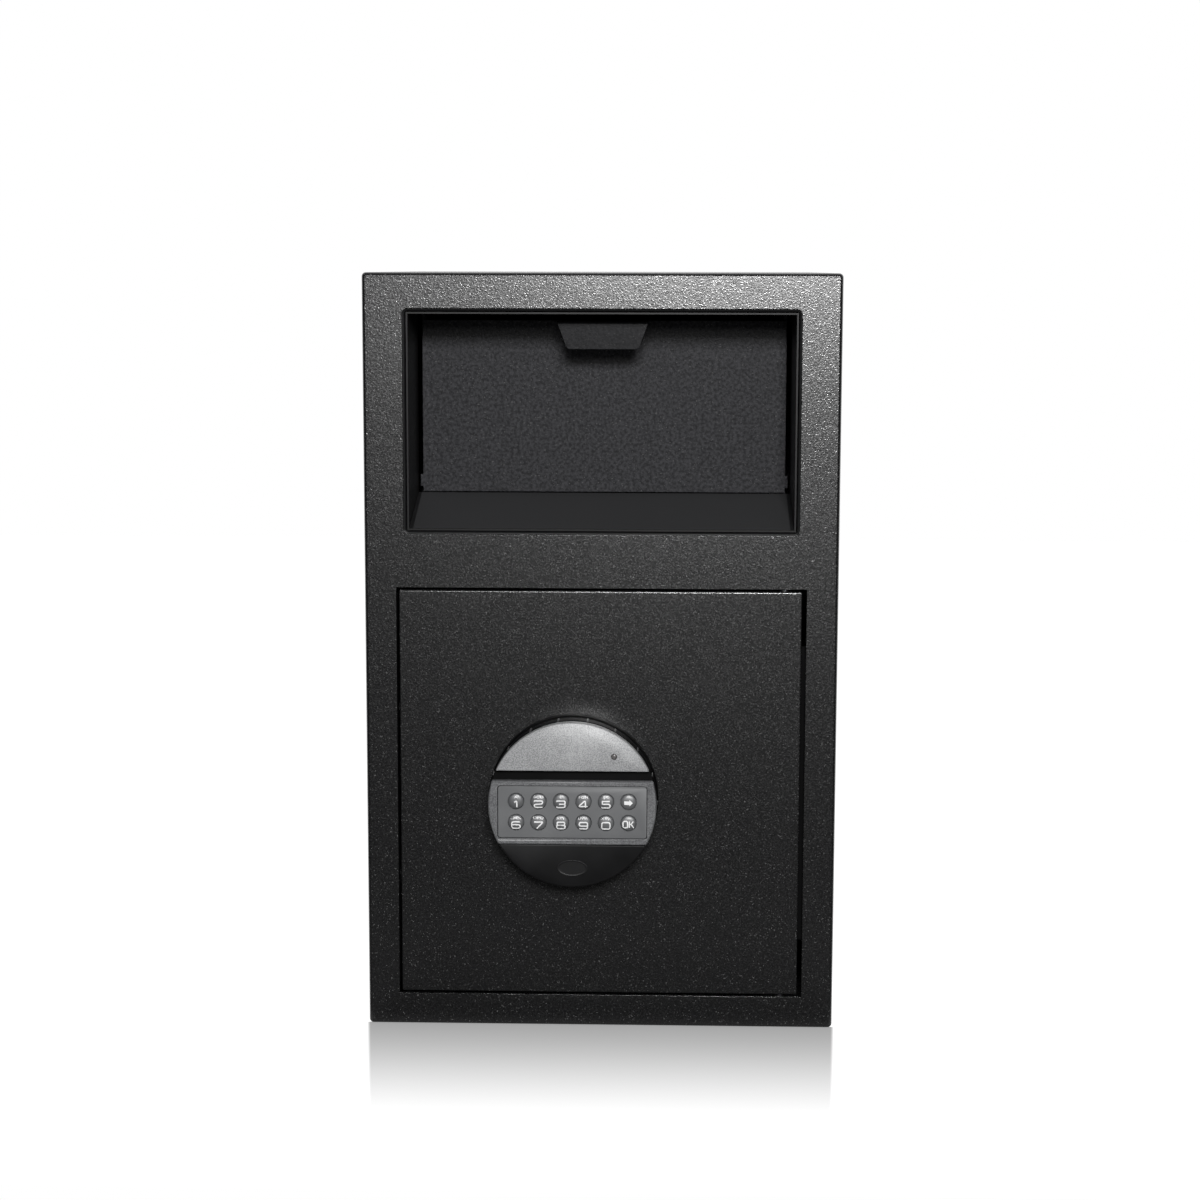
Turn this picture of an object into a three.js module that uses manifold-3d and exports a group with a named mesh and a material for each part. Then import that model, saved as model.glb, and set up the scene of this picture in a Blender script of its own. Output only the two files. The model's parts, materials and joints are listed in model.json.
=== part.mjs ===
// Drop safe with a pull-out deposit drawer above a flush vault door.
// Millimetres. +Z is up, the front faces -Y and +X is to the right seen from the front.
// The origin is the centre of the base. Depths are measured back from the front face.

import * as THREE from 'three';
import { mergeVertices } from 'three/addons/utils/BufferGeometryUtils.js';
import Module from 'manifold-3d';

const wasm = await Module();
wasm.setup();

// Case

const caseWidth = 340;
const caseHeight = 548.5;
const caseDepth = 380;
const caseSheet = 3;
const caseCornerRadius = 3;
const caseEdgeRadius = 2.2;
const anchorHoleRadius = 6;
const baseAnchorSpacing = 200;
const baseAnchorSetback = 60;
const backAnchorSpacing = 200;
const backAnchorHeight = 250;
const plugHeadRadius = 9.5;
const plugHeadHeight = 2;

// Gaps. seatGap lies between pieces that are fixed together, runGap between pieces that move.

const seatGap = 0.3;
const runGap = 0.4;

// Cutters run past what they cut by this much, and fused pieces reach into each other by it.

const overcut = 1;

// A corner that is offset inwards keeps at least this radius.

const cornerRadiusLeast = 0.4;

// Deposit bay: the trim round its mouth and the liner behind the trim

const baySideMargin = 28.3;
const bayHeight = 160.8;
const bayTopInset = 25.1;
const bayCornerRadius = 4;
const trimLipWidth = 2.1;
const trimFlangeWidth = 5;
const trimFlangeThickness = 1.2;
const trimDepth = 9;
const linerGroove = 0.6;
const linerSheet = 1.2;
const linerSetback = 1.6;
const linerSideTaper = 0.6;
const linerRoofDrop = 1;
const sillRise = 20.3;
const panelSetback = 64;

// Drawer

const panelThickness = 2.5;
const panelSideGap = 3.4;
const panelBottomGap = 0.8;
const panelTopGap = 4.6;
const panelEdgeRadius = 0.6;
const earHeight = 9;
const earRise = 3.6;
const earWidth = 1.9;
const traySheet = 1.5;
const traySideInset = 14.5;
const trayLength = 196;
const trayFloorClearance = 5;
const trayHemWidth = 5;
const pullHeight = 19.8;
const pullTopHalfWidth = 33;
const pullSideSlope = 0.37;
const pullCornerRadius = 3.7;
const pullReach = 38;
const pullSheet = 2;
const pullFlange = 12;

// Drawer slides, three nested channels on each side

const slideLength = 200;
const slideHeight = 36;
const slideDepth = 12;
const slideSheet = 1.2;
const slideRise = 28;

// Trap flap in the floor of the drawer

const flapDropAngle = 45;
const flapSheet = 1.5;
const flapPinRadius = 2.5;
const flapKnuckleWall = 1.7;
const flapPinRise = 36;
const flapPinSetback = 8;
const flapEndGap = 2.2;
const flapLip = 8;

// Deposit housing

const housingSheet = 2;
const housingFrontSetback = 1;
const housingRearGap = 5;
const housingFootWidth = 9;
const housingHeadWidth = 16;

// Vault door and its opening

const openingSideMargin = 22.6;
const openingSill = 23.2;
const middleRail = 38.4;
const doorPlate = 5;
const doorEdgeRadius = 0.8;
const doorCornerRadius = 1;
const doorGap = 2;
const doorHingeGap = 3.4;
const hingeInset = 12.4;
const hingeDepth = 9.2;
const hingePinRadius = 3;
const hingeLugHeight = 20;
const hingeLugInset = 4;
const hingeLugSide = 8.4;
const hingeLugDepth = 12;
const hingeBracketThickness = 6;
const hingeBracketGap = 2.3;
const hingeBracketWidth = 26;
const hingeBracketDepth = 15;
const coverDepth = 36;
const coverSheet = 1.5;
const coverLatchInset = 15.4;
const coverHingeInset = 26;
const coverEndInset = 15;
const hingeBarThickness = 3;
const hingeBarOverlap = 12;
const hingeBarLand = 21;
const hingeBarEndInset = 40;
const guideBarInset = 2;
const guideBarWidth = 6;
const guideBarDepth = 29;

// Bolt work

const boltRadius = 8;
const boltSpread = 124;
const boltDepth = 22;
const boltSetback = 0.6;
const boltChamfer = 1.5;
const boltSpigotRadius = 3.7;
const boltSpigotLength = 5;
const camPinOrbit = 11;
const camPinRadius = 3;
const camPinClearance = 0.7;
const camRadius = 17;
const camThickness = 4;
const camDepth = 11;
const carriageSheet = 2.5;
const carriageFlange = 20;
const carriageBarWidth = 21;
const carriageBarOverhang = 13;
const carriageArmHeight = 46;
const carriageArmReach = 70;
const carriageEndGap = 1.4;
const spigotRoomGap = 1;
const camPinProud = 4;
const studRadius = 4;
const studHeadRadius = 7;
const studHeadThickness = 2;
const studLeftReach = 60;
const studRightReach = 44;
const jambSheet = 3;
const jambDepth = 42;
const jambFoot = 15;
const jambEndInset = 6;
const lockCaseHeight = 84;
const lockCaseDepth = 28;
const lockCaseEndGap = 4;
const lockCaseSideGap = 7.8;
const lockCaseCornerRadius = 3;

// Lock knob

const knobOffset = 18.6;
const knobHeight = 146.6;
const knobRadius = 60.5;
const baseRingRadius = 61.3;
const baseRingHeight = 10;
const baseRingEdge = 1.5;
const spindleRadius = 5;
const spindleBoreClearance = 2;
const spindleSocketDepth = 10;
const spindleCollarRadius = 9;
const knobStandoff = 0.8;
const knobRebateDepth = 1.6;
const knobRebateWidth = 2.5;
const knobDrumDepth = 12.4;
const knobSides = 64;
const ribCount = 18;
const ribWidth = 1.3;
const ribHeight = 0.5;
const insertThickness = 6.3;
const insertEdge = 0.8;
const insertInset = 0.3;
const batteryChord = 24.9;
const blockTopChord = 17.7;
const blockBottomChord = -28.5;
const blockThickness = 7.3;
const blockEdge = 1.2;
const lowerThickness = 5.8;
const lowerSlope = 0.03;
const emblemWidth = 22.2;
const emblemHeight = 11.8;
const emblemDrop = 46;
const emblemRelief = 0.5;
const ledRadius = 1.9;
const ledRight = 29.7;
const ledUp = 35.6;
const ledTipRadius = 1.2;
const ledProud = 0.3;

// Keypad

const padWidth = 107.2;
const padHeight = 38.7;
const padDrop = 4.75;
const padRadius = 2.4;
const padRecess = 0.8;
const padThickness = 1;
const padBorderGap = 0.5;
const padLedge = 1.6;
const padPocketDepth = 3;
const keyColumnPitch = 16.06;
const keyRowPitch = 15.4;
const keyRowDrop = 4.6;
const keyRadius = 5.65;
const keyFlangeWidth = 0.9;
const keyFlangeThickness = 1;
const keyShoulder = 0.5;
const keyDome = 1.8;
const keySides = 16;
const keyRows = [
  ['1', '2', '3', '4', '5', 'arrow'],
  ['6', '7', '8', '9', '0', 'ok'],
];

// Faces that are worked out from the sizes above

const frontFace = -caseDepth / 2;
const rearFace = caseDepth / 2;
const innerBack = rearFace - caseSheet;
const innerSide = caseWidth / 2 - caseSheet;
const innerRoof = caseHeight - caseSheet;
const baySide = caseWidth / 2 - baySideMargin;
const bayTop = caseHeight - bayTopInset;
const bayBottom = bayTop - bayHeight;
const openingSide = caseWidth / 2 - openingSideMargin;
const openingTop = bayBottom - middleRail;
const doorLeft = -openingSide + doorGap;
const doorRight = openingSide - doorHingeGap;
const doorBottom = openingSill + doorGap;
const doorTop = openingTop - doorGap;
const hingeX = doorRight - hingeInset;
const hingeY = frontFace + hingeDepth;
const doorBack = frontFace + doorPlate + seatGap;
const knobX = (doorLeft + doorRight) / 2 - knobOffset;
const knobZ = doorBottom + knobHeight;

const linerInset = trimLipWidth + linerGroove;
const linerMouth = {
  xLow: -baySide + linerInset,
  xHigh: baySide - linerInset,
  zLow: bayBottom + linerInset,
  zHigh: bayTop - linerInset,
};
const linerRear = {
  xLow: linerMouth.xLow + linerSideTaper,
  xHigh: linerMouth.xHigh - linerSideTaper,
  zLow: linerMouth.zLow + sillRise,
  zHigh: linerMouth.zHigh - linerRoofDrop,
};

const panelFront = frontFace + panelSetback;
const panelBack = panelFront + panelThickness;
const panelSide = linerRear.xHigh - linerSheet - panelSideGap;
const panelBottom = linerRear.zLow + linerSheet + panelBottomGap;
const panelTop = linerRear.zHigh - linerSheet - panelTopGap;
const trayFront = panelBack + seatGap;
const trayBack = trayFront + trayLength;
const trayBottom = panelBottom + trayFloorClearance;
const trayTop = panelTop - trayHemWidth / 2;
const traySide = panelSide - traySideInset;
const housingSide = traySide + 2 * seatGap + slideDepth;
const housingBack = trayBack + housingRearGap;
const slideFront = trayFront;
const slideZ = panelBottom + slideRise;
const flapPinZ = panelBottom + flapPinRise;
const flapPinY = trayFront + traySheet + flapPinSetback;
const flapKnuckle = flapPinRadius + seatGap + flapKnuckleWall;

const boltThrow = Math.SQRT2 * camPinOrbit;
const boltY = frontFace + boltDepth;
const boltTip = doorLeft + boltSetback;
const coverLeft = doorLeft + coverLatchInset;
const carriageLeft = coverLeft + coverSheet + boltThrow + carriageEndGap;
const padCentreZ = knobZ - padDrop;
const knobRear = frontFace - baseRingHeight - seatGap - knobStandoff;
const drumFace = knobRear - knobDrumDepth;
const insertBack = drumFace - seatGap;
const batteryFace = insertBack - insertThickness;
const blockFace = insertBack - blockThickness;
const padFace = blockFace + padRecess;
const padBack = padFace + padThickness;

// Geometry helpers

function weld(geometry) {
  geometry.deleteAttribute('normal');
  geometry.deleteAttribute('uv');
  const merged = mergeVertices(geometry, 1e-4);
  const source = merged.index.array;
  const kept = [];
  for (let i = 0; i < source.length; i += 3) {
    const [a, b, c] = [source[i], source[i + 1], source[i + 2]];
    if (a !== b && b !== c && c !== a) kept.push(a, b, c);
  }
  merged.setIndex(kept);
  return signedVolume(merged) < 0 ? flipped(merged) : merged;
}

function signedVolume(geometry) {
  const position = geometry.attributes.position;
  const index = geometry.index.array;
  const corner = [new THREE.Vector3(), new THREE.Vector3(), new THREE.Vector3()];
  let volume = 0;
  for (let i = 0; i < index.length; i += 3) {
    corner.forEach((point, k) => point.fromBufferAttribute(position, index[i + k]));
    volume += corner[0].dot(corner[1].cross(corner[2])) / 6;
  }
  return volume;
}

function flipped(geometry) {
  const index = geometry.index.array;
  for (let i = 0; i < index.length; i += 3) {
    [index[i + 1], index[i + 2]] = [index[i + 2], index[i + 1]];
  }
  return geometry;
}

function toSolid(geometry) {
  const welded = weld(geometry);
  return new wasm.Manifold(new wasm.Mesh({
    numProp: 3,
    vertProperties: new Float32Array(welded.attributes.position.array),
    triVerts: new Uint32Array(welded.index.array),
  }));
}

function toGeometry(solid) {
  const mesh = solid.getMesh();
  const geometry = new THREE.BufferGeometry();
  geometry.setAttribute('position', new THREE.BufferAttribute(mesh.vertProperties, 3));
  geometry.setIndex(new THREE.BufferAttribute(mesh.triVerts, 1));
  return geometry;
}

function cut(base, ...tools) {
  return toGeometry(tools.reduce((solid, tool) => solid.subtract(toSolid(tool)), toSolid(base)));
}

function join(base, ...others) {
  return toGeometry(others.reduce((solid, other) => solid.add(toSolid(other)), toSolid(base)));
}

function common(base, other) {
  return toGeometry(toSolid(base).intersect(toSolid(other)));
}

function block([xLow, xHigh], [yLow, yHigh], [zLow, zHigh]) {
  const geometry = new THREE.BoxGeometry(xHigh - xLow, yHigh - yLow, zHigh - zLow);
  return geometry.translate((xLow + xHigh) / 2, (yLow + yHigh) / 2, (zLow + zHigh) / 2);
}

function extrusion(outline, length, edge, curveSegments) {
  return new THREE.ExtrudeGeometry(outline, {
    depth: length - 2 * edge,
    curveSegments,
    bevelEnabled: edge > 0,
    bevelThickness: edge,
    bevelSize: edge,
    bevelOffset: -edge,
    bevelSegments: 2,
  }).translate(0, 0, edge);
}

// An outline drawn in x and z, standing between two depths
function standing(outline, [yLow, yHigh], edge = 0, curveSegments = 6) {
  return extrusion(outline, yHigh - yLow, edge, curveSegments).rotateX(Math.PI / 2).translate(0, yHigh, 0);
}

// An outline drawn in y and z, running from left to right
function crossing(outline, [xLow, xHigh], curveSegments = 6) {
  const toSide = new THREE.Matrix4().set(0, 0, 1, xLow, 1, 0, 0, 0, 0, 1, 0, 0, 0, 0, 0, 1);
  return extrusion(outline, xHigh - xLow, 0, curveSegments).applyMatrix4(toSide);
}

// An outline drawn in x and y, rising from one height to another
function rising(outline, [zLow, zHigh], curveSegments = 6) {
  return extrusion(outline, zHigh - zLow, 0, curveSegments).translate(0, 0, zLow);
}

function outlineOf(points) {
  return new THREE.Shape(points.map(([u, v]) => new THREE.Vector2(u, v)));
}

function roundedRect(uLow, uHigh, vLow, vHigh, radius) {
  const shape = new THREE.Shape();
  shape.moveTo(uLow + radius, vLow);
  shape.lineTo(uHigh - radius, vLow);
  shape.absarc(uHigh - radius, vLow + radius, radius, -Math.PI / 2, 0);
  shape.lineTo(uHigh, vHigh - radius);
  shape.absarc(uHigh - radius, vHigh - radius, radius, 0, Math.PI / 2);
  shape.lineTo(uLow + radius, vHigh);
  shape.absarc(uLow + radius, vHigh - radius, radius, Math.PI / 2, Math.PI);
  shape.lineTo(uLow, vLow + radius);
  shape.absarc(uLow + radius, vLow + radius, radius, Math.PI, 1.5 * Math.PI);
  return shape;
}

// A slot whose ends are almost half round, so that no side of it has a length of zero
function slot(uLow, uHigh, vLow, vHigh) {
  const half = Math.min(uHigh - uLow, vHigh - vLow) / 2;
  return roundedRect(uLow, uHigh, vLow, vHigh, 0.98 * half);
}

// Parts of a disc that is centred on 0, 0 and cut by level chords
function discTop(radius, chord) {
  const low = Math.asin(chord / radius);
  return new THREE.Shape().absarc(0, 0, radius, low, Math.PI - low);
}

function discBottom(radius, chord) {
  const high = Math.asin(chord / radius);
  return new THREE.Shape().absarc(0, 0, radius, Math.PI - high, 2 * Math.PI + high);
}

function discBand(radius, lowChord, highChord) {
  const low = Math.asin(lowChord / radius);
  const high = Math.asin(highChord / radius);
  const right = new THREE.Shape().absarc(0, 0, radius, low, high);
  return right.absarc(0, 0, radius, Math.PI - high, Math.PI - low);
}

// Turned pieces. A profile lists [radius, distance along the axis] and starts and ends on the axis
// or closes on itself.
function turned(profile, segments) {
  const points = profile.map(([radius, along]) => new THREE.Vector2(radius, along));
  return new THREE.LatheGeometry(points, segments);
}

function turnedAlongY(profile, x, z, segments = 24) {
  return turned(profile, segments).translate(x, 0, z);
}

function turnedAlongX(profile, y, z, segments = 24) {
  return turned(profile, segments).rotateZ(-Math.PI / 2).translate(0, y, z);
}

function turnedAlongZ(profile, x, y, segments = 24) {
  return turned(profile, segments).rotateX(Math.PI / 2).translate(x, y, 0);
}

function rod(radius, low, high) {
  return [[0, low], [radius, low], [radius, high], [0, high]];
}

function roundedSection(centreU, centreV, radiusU, radiusV, from, to, steps) {
  return Array.from({ length: steps + 1 }, (_, i) => {
    const angle = THREE.MathUtils.degToRad(from + ((to - from) * i) / steps);
    return [centreU + radiusU * Math.cos(angle), centreV + radiusV * Math.sin(angle)];
  });
}

// A skin over loops of points, each loop with as many points as the next. It either runs round
// from the last loop to the first or has a fan over each end.
function skin(loops, runsRound) {
  const count = loops[0].length;
  const positions = loops.flat(2);
  const index = [];
  const spans = runsRound ? loops.length : loops.length - 1;
  for (let i = 0; i < spans; i += 1) {
    const here = i * count;
    const next = ((i + 1) % loops.length) * count;
    for (let k = 0; k < count; k += 1) {
      const after = (k + 1) % count;
      index.push(here + k, next + k, next + after, here + k, next + after, here + after);
    }
  }
  const last = (loops.length - 1) * count;
  for (let k = 1; !runsRound && k < count - 1; k += 1) {
    index.push(0, k, k + 1, last, last + k + 1, last + k);
  }
  const geometry = new THREE.BufferGeometry();
  geometry.setAttribute('position', new THREE.Float32BufferAttribute(positions, 3));
  geometry.setIndex(index);
  return geometry;
}

function rectLoop({ xLow, xHigh, zLow, zHigh }, inset, y) {
  return [
    [xLow + inset, y, zLow + inset],
    [xHigh - inset, y, zLow + inset],
    [xHigh - inset, y, zHigh - inset],
    [xLow + inset, y, zHigh - inset],
  ];
}

function roundedLoop({ xLow, xHigh, zLow, zHigh }, radius, inset, y) {
  const shape = roundedRect(
    xLow + inset,
    xHigh - inset,
    zLow + inset,
    zHigh - inset,
    Math.max(radius - inset, cornerRadiusLeast),
  );
  const points = shape.getPoints(3);
  const closes = points[0].distanceTo(points[points.length - 1]) < 1e-6;
  return (closes ? points.slice(0, -1) : points).map((point) => [point.x, y, point.y]);
}

// Finishes

const finishes = {
  texturedPaint: { color: 0x1c1d1f, roughness: 0.55, metalness: 0.1 },
  satinPaint: { color: 0x17181a, roughness: 0.45, metalness: 0.1 },
  zinc: { color: 0xa9adb0, roughness: 0.4, metalness: 0.9 },
  steel: { color: 0x8d9196, roughness: 0.35, metalness: 1 },
  darkPlastic: { color: 0x151618, roughness: 0.5, metalness: 0 },
  greyPlastic: { color: 0x8b8e91, roughness: 0.6, metalness: 0.1 },
  padPlastic: { color: 0x5e6164, roughness: 0.5, metalness: 0 },
  keyPlastic: { color: 0x4a4d50, roughness: 0.35, metalness: 0 },
  lens: { color: 0x1a1012, roughness: 0.15, metalness: 0 },
  blackRubber: { color: 0x121212, roughness: 0.8, metalness: 0 },
};

const safe = new THREE.Group();

function add(name, geometry, finish) {
  const mesh = new THREE.Mesh(weld(geometry), new THREE.MeshStandardMaterial(finishes[finish]));
  mesh.name = name;
  safe.add(mesh);
}

// Case

function anchorPositions() {
  const sides = [['left', -1], ['right', 1]];
  return sides.map(([side, sign]) => ({
    side,
    baseX: (sign * baseAnchorSpacing) / 2,
    baseY: rearFace - baseAnchorSetback,
    backX: (sign * backAnchorSpacing) / 2,
    backZ: backAnchorHeight,
  }));
}

function caseShell() {
  const outline = roundedRect(-caseWidth / 2, caseWidth / 2, 0, caseHeight, caseCornerRadius);
  const outer = standing(outline, [frontFace, rearFace], caseEdgeRadius, 4);
  const inside = block(
    [-innerSide, innerSide],
    [frontFace + caseSheet, rearFace + caseSheet],
    [caseSheet, innerRoof],
  );
  const throughFront = [frontFace - caseSheet, frontFace + 2 * caseSheet];
  const bayHole = standing(
    roundedRect(-baySide, baySide, bayBottom, bayTop, bayCornerRadius),
    throughFront,
  );
  const doorHole = block([-openingSide, openingSide], throughFront, [openingSill, openingTop]);
  const anchorHoles = anchorPositions().map(({ baseX, baseY }) => (
    turnedAlongZ(rod(anchorHoleRadius, -caseSheet, 2 * caseSheet), baseX, baseY, 16)
  ));
  return cut(outer, inside, bayHole, doorHole, ...anchorHoles);
}

function backPanel() {
  const panel = block(
    [-innerSide + seatGap, innerSide - seatGap],
    [innerBack, rearFace],
    [caseSheet + seatGap, innerRoof - seatGap],
  );
  const holes = anchorPositions().map(({ backX, backZ }) => (
    turnedAlongY(rod(anchorHoleRadius, innerBack - caseSheet, rearFace + caseSheet), backX, backZ, 16)
  ));
  return cut(panel, ...holes);
}

// A push-in plug: its shank fills the hole and its head lies on the inner face of the sheet.
function plugProfile(shankEnd, headSeat, headTop) {
  const shank = anchorHoleRadius - seatGap;
  return [[0, shankEnd], [shank, shankEnd], [shank, headSeat], [plugHeadRadius, headSeat],
    [plugHeadRadius - plugHeadHeight / 2, headTop], [0, headTop]];
}

function addCase() {
  add('case_shell', caseShell(), 'texturedPaint');
  add('back_panel', backPanel(), 'texturedPaint');
  anchorPositions().forEach(({ side, baseX, baseY, backX, backZ }) => {
    const basePlug = plugProfile(seatGap, caseSheet + seatGap, caseSheet + seatGap + plugHeadHeight);
    const headSeat = innerBack - seatGap;
    const backPlug = plugProfile(rearFace - seatGap, headSeat, headSeat - plugHeadHeight);
    add(`anchor_plug_base_${side}`, turnedAlongZ(basePlug, baseX, baseY, 16), 'blackRubber');
    add(`anchor_plug_back_${side}`, turnedAlongY(backPlug, backX, backZ, 16), 'blackRubber');
  });
}

// Deposit bay

function bayTrim() {
  const mouth = { xLow: -baySide, xHigh: baySide, zLow: bayBottom, zHigh: bayTop };
  const flangeFront = frontFace + caseSheet + seatGap;
  const lipWidth = trimLipWidth - seatGap;
  const lip = roundedSection(seatGap, frontFace + trimLipWidth, lipWidth, trimLipWidth, 270, 360, 3);
  const section = [
    ...lip,
    [trimLipWidth, frontFace + trimDepth],
    [seatGap, frontFace + trimDepth],
    [seatGap, flangeFront + trimFlangeThickness],
    [-trimFlangeWidth, flangeFront + trimFlangeThickness],
    [-trimFlangeWidth, flangeFront],
    [seatGap, flangeFront],
  ];
  return skin(section.map(([inset, y]) => roundedLoop(mouth, bayCornerRadius, inset, y)), true);
}

function bayLiner() {
  const front = frontFace + linerSetback;
  const rear = panelBack;
  return skin([
    rectLoop(linerMouth, 0, front),
    rectLoop(linerRear, 0, rear),
    rectLoop(linerRear, linerSheet, rear),
    rectLoop(linerMouth, linerSheet, front),
  ], true);
}

function addBay() {
  add('bay_trim', bayTrim(), 'satinPaint');
  add('bay_liner', bayLiner(), 'satinPaint');
}

// Deposit housing: two sides of bent sheet hung from the roof, closed at the rear

function depositHousing() {
  const outside = housingSide + housingSheet;
  const foot = panelBottom;
  const head = innerRoof - seatGap;
  const wallSection = (sign) => outlineOf([
    [housingSide, foot],
    [housingSide - housingFootWidth, foot],
    [housingSide - housingFootWidth, foot - housingSheet],
    [outside, foot - housingSheet],
    [outside, head - housingSheet],
    [outside + housingHeadWidth, head - housingSheet],
    [outside + housingHeadWidth, head],
    [housingSide, head],
  ].map(([x, z]) => [sign * x, z]));
  const back = [housingBack, housingBack + housingSheet];
  const span = [slideFront + housingFrontSetback, back[1]];
  const left = standing(wallSection(-1), span);
  const right = standing(wallSection(1), span);
  const rear = block([-outside, outside], back, [foot - housingSheet, head]);
  return join(left, right, rear);
}

// Slides. Each member is a channel whose web is at webX and whose mouth faces towards mouthSign.
function channel(webX, mouthSign, depth, height, yRange) {
  const half = height / 2;
  const section = outlineOf([
    [0, -half],
    [depth, -half],
    [depth, -half + slideSheet],
    [slideSheet, -half + slideSheet],
    [slideSheet, half - slideSheet],
    [depth, half - slideSheet],
    [depth, half],
    [0, half],
  ].map(([u, v]) => [webX + mouthSign * u, slideZ + v]));
  return standing(section, yRange);
}

function addSlides() {
  const step = slideSheet + runGap;
  const yRange = [slideFront, slideFront + slideLength];
  [['left', -1], ['right', 1]].forEach(([side, sign]) => {
    const outerWeb = sign * (housingSide - seatGap);
    const middleWeb = outerWeb - sign * step;
    const innerWeb = sign * (traySide + seatGap);
    const outerDepth = slideDepth - step;
    const depth = outerDepth - step;
    const middleHeight = slideHeight - 2 * step;
    const innerHeight = middleHeight - 2 * step;
    add(`slide_outer_${side}`, channel(outerWeb, -sign, outerDepth, slideHeight, yRange), 'zinc');
    add(`slide_middle_${side}`, channel(middleWeb, -sign, depth, middleHeight, yRange), 'zinc');
    add(`slide_inner_${side}`, channel(innerWeb, sign, depth, innerHeight, yRange), 'zinc');
  });
}

// Drawer

function drawerFront() {
  const earLow = panelBottom + earRise;
  const earHigh = earLow + earHeight;
  const half = [
    [panelSide, panelBottom],
    [panelSide, earLow],
    [panelSide + earWidth, earLow],
    [panelSide + earWidth, earHigh],
    [panelSide, earHigh],
    [panelSide, panelTop],
  ];
  const mirrored = half.map(([x, z]) => [-x, z]).reverse();
  return standing(outlineOf([...half, ...mirrored]), [panelFront, panelBack], panelEdgeRadius);
}

function drawerPull() {
  const top = panelTop;
  const bottom = top - pullHeight;
  const back = panelFront - seatGap;
  const front = back - pullReach;
  const section = outlineOf([
    [back, top],
    [front + pullSheet, top],
    [front + pullSheet / 3, top - pullSheet / 3],
    [front, top - pullSheet],
    [front, bottom],
    [front + pullSheet, bottom],
    [front + pullSheet, top - pullSheet],
    [back - pullSheet, top - pullSheet],
    [back - pullSheet, top - pullFlange],
    [back, top - pullFlange],
  ]);
  const bent = crossing(section, [-pullTopHalfWidth, pullTopHalfWidth]);
  const lowHalfWidth = pullTopHalfWidth - pullSideSlope * pullHeight;
  const lean = Math.atan(pullSideSlope);
  const setIn = pullCornerRadius * Math.tan(Math.PI / 4 - lean / 2);
  const centreX = lowHalfWidth - setIn;
  const face = new THREE.Shape();
  face.moveTo(pullTopHalfWidth, top);
  face.lineTo(-pullTopHalfWidth, top);
  face.absarc(-centreX, bottom + pullCornerRadius, pullCornerRadius, Math.PI + lean, 1.5 * Math.PI);
  face.absarc(centreX, bottom + pullCornerRadius, pullCornerRadius, -Math.PI / 2, -lean);
  return common(bent, standing(face, [front - pullSheet, back + pullSheet]));
}

function drawerTray() {
  const outer = [-traySide, traySide];
  const inner = [-traySide + traySheet, traySide - traySheet];
  const walls = cut(
    block(outer, [trayFront, trayBack], [trayBottom, trayTop]),
    block(inner, [trayFront + traySheet, trayBack - traySheet], [trayBottom - overcut, trayTop - traySheet]),
    block(
      [-traySide + trayHemWidth, traySide - trayHemWidth],
      [trayFront + trayHemWidth, trayBack - trayHemWidth],
      [trayTop - 2 * traySheet, trayTop + overcut],
    ),
  );
  const pinHole = rod(flapPinRadius + seatGap, -traySide - overcut, traySide + overcut);
  return cut(walls, turnedAlongX(pinHole, flapPinY, flapPinZ, 16));
}

function flapPin() {
  return turnedAlongX(rod(flapPinRadius, -traySide, traySide), flapPinY, flapPinZ, 16);
}

// The flap hangs open while the drawer is home. Its knuckle turns on the pin at the front of the tray.
function trapFlap() {
  const reach = trayBack - traySheet - flapEndGap - flapPinY;
  const halfWidth = traySide - traySheet - 2 * runGap;
  const under = flapKnuckle - flapSheet;
  const top = 90;
  const meets = 360 + THREE.MathUtils.radToDeg(Math.asin(under / flapKnuckle));
  const section = outlineOf([
    ...roundedSection(0, 0, flapKnuckle, flapKnuckle, top, meets, 16),
    [reach - flapSheet, under],
    [reach - flapSheet, flapKnuckle - flapLip],
    [reach, flapKnuckle - flapLip],
    [reach, flapKnuckle],
  ]);
  const level = crossing(section, [-halfWidth, halfWidth]);
  const bore = rod(flapPinRadius + seatGap, -halfWidth - overcut, halfWidth + overcut);
  const drop = THREE.MathUtils.degToRad(-flapDropAngle);
  return cut(level, turnedAlongX(bore, 0, 0, 16)).rotateX(drop).translate(0, flapPinY, flapPinZ);
}

function addDrawer() {
  add('deposit_housing', depositHousing(), 'satinPaint');
  addSlides();
  add('drawer_front', drawerFront(), 'texturedPaint');
  add('drawer_pull', drawerPull(), 'texturedPaint');
  add('drawer_tray', drawerTray(), 'satinPaint');
  add('flap_pin', flapPin(), 'steel');
  add('trap_flap', trapFlap(), 'satinPaint');
}

// Door frame pieces behind the front face

function latchJamb() {
  const inner = openingSide + seatGap;
  const front = frontFace + caseSheet + seatGap;
  const section = outlineOf([
    [-inner, front],
    [-inner, front + jambDepth],
    [-inner - jambSheet, front + jambDepth],
    [-inner - jambSheet, front + jambSheet],
    [-inner - jambFoot, front + jambSheet],
    [-inner - jambFoot, front],
  ]);
  const jamb = rising(section, [openingSill + jambEndInset, openingTop - jambEndInset]);
  const hole = rod(boltRadius + 2 * runGap, -inner - jambSheet - overcut, -inner + overcut);
  return cut(jamb, ...boltHeights().map((z) => turnedAlongX(hole, boltY, z)));
}

function hingeBracket(zLow) {
  const front = frontFace + caseSheet + seatGap;
  const half = hingeBracketWidth / 2;
  const plate = block(
    [hingeX - half, hingeX + half],
    [front, front + hingeBracketDepth],
    [zLow, zLow + hingeBracketThickness],
  );
  const hole = rod(hingePinRadius + seatGap, zLow - overcut, zLow + hingeBracketThickness + overcut);
  return cut(plate, turnedAlongZ(hole, hingeX, hingeY, 20));
}

// Door

function boltHeights() {
  return [knobZ + boltSpread / 2, knobZ - boltSpread / 2];
}

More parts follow.
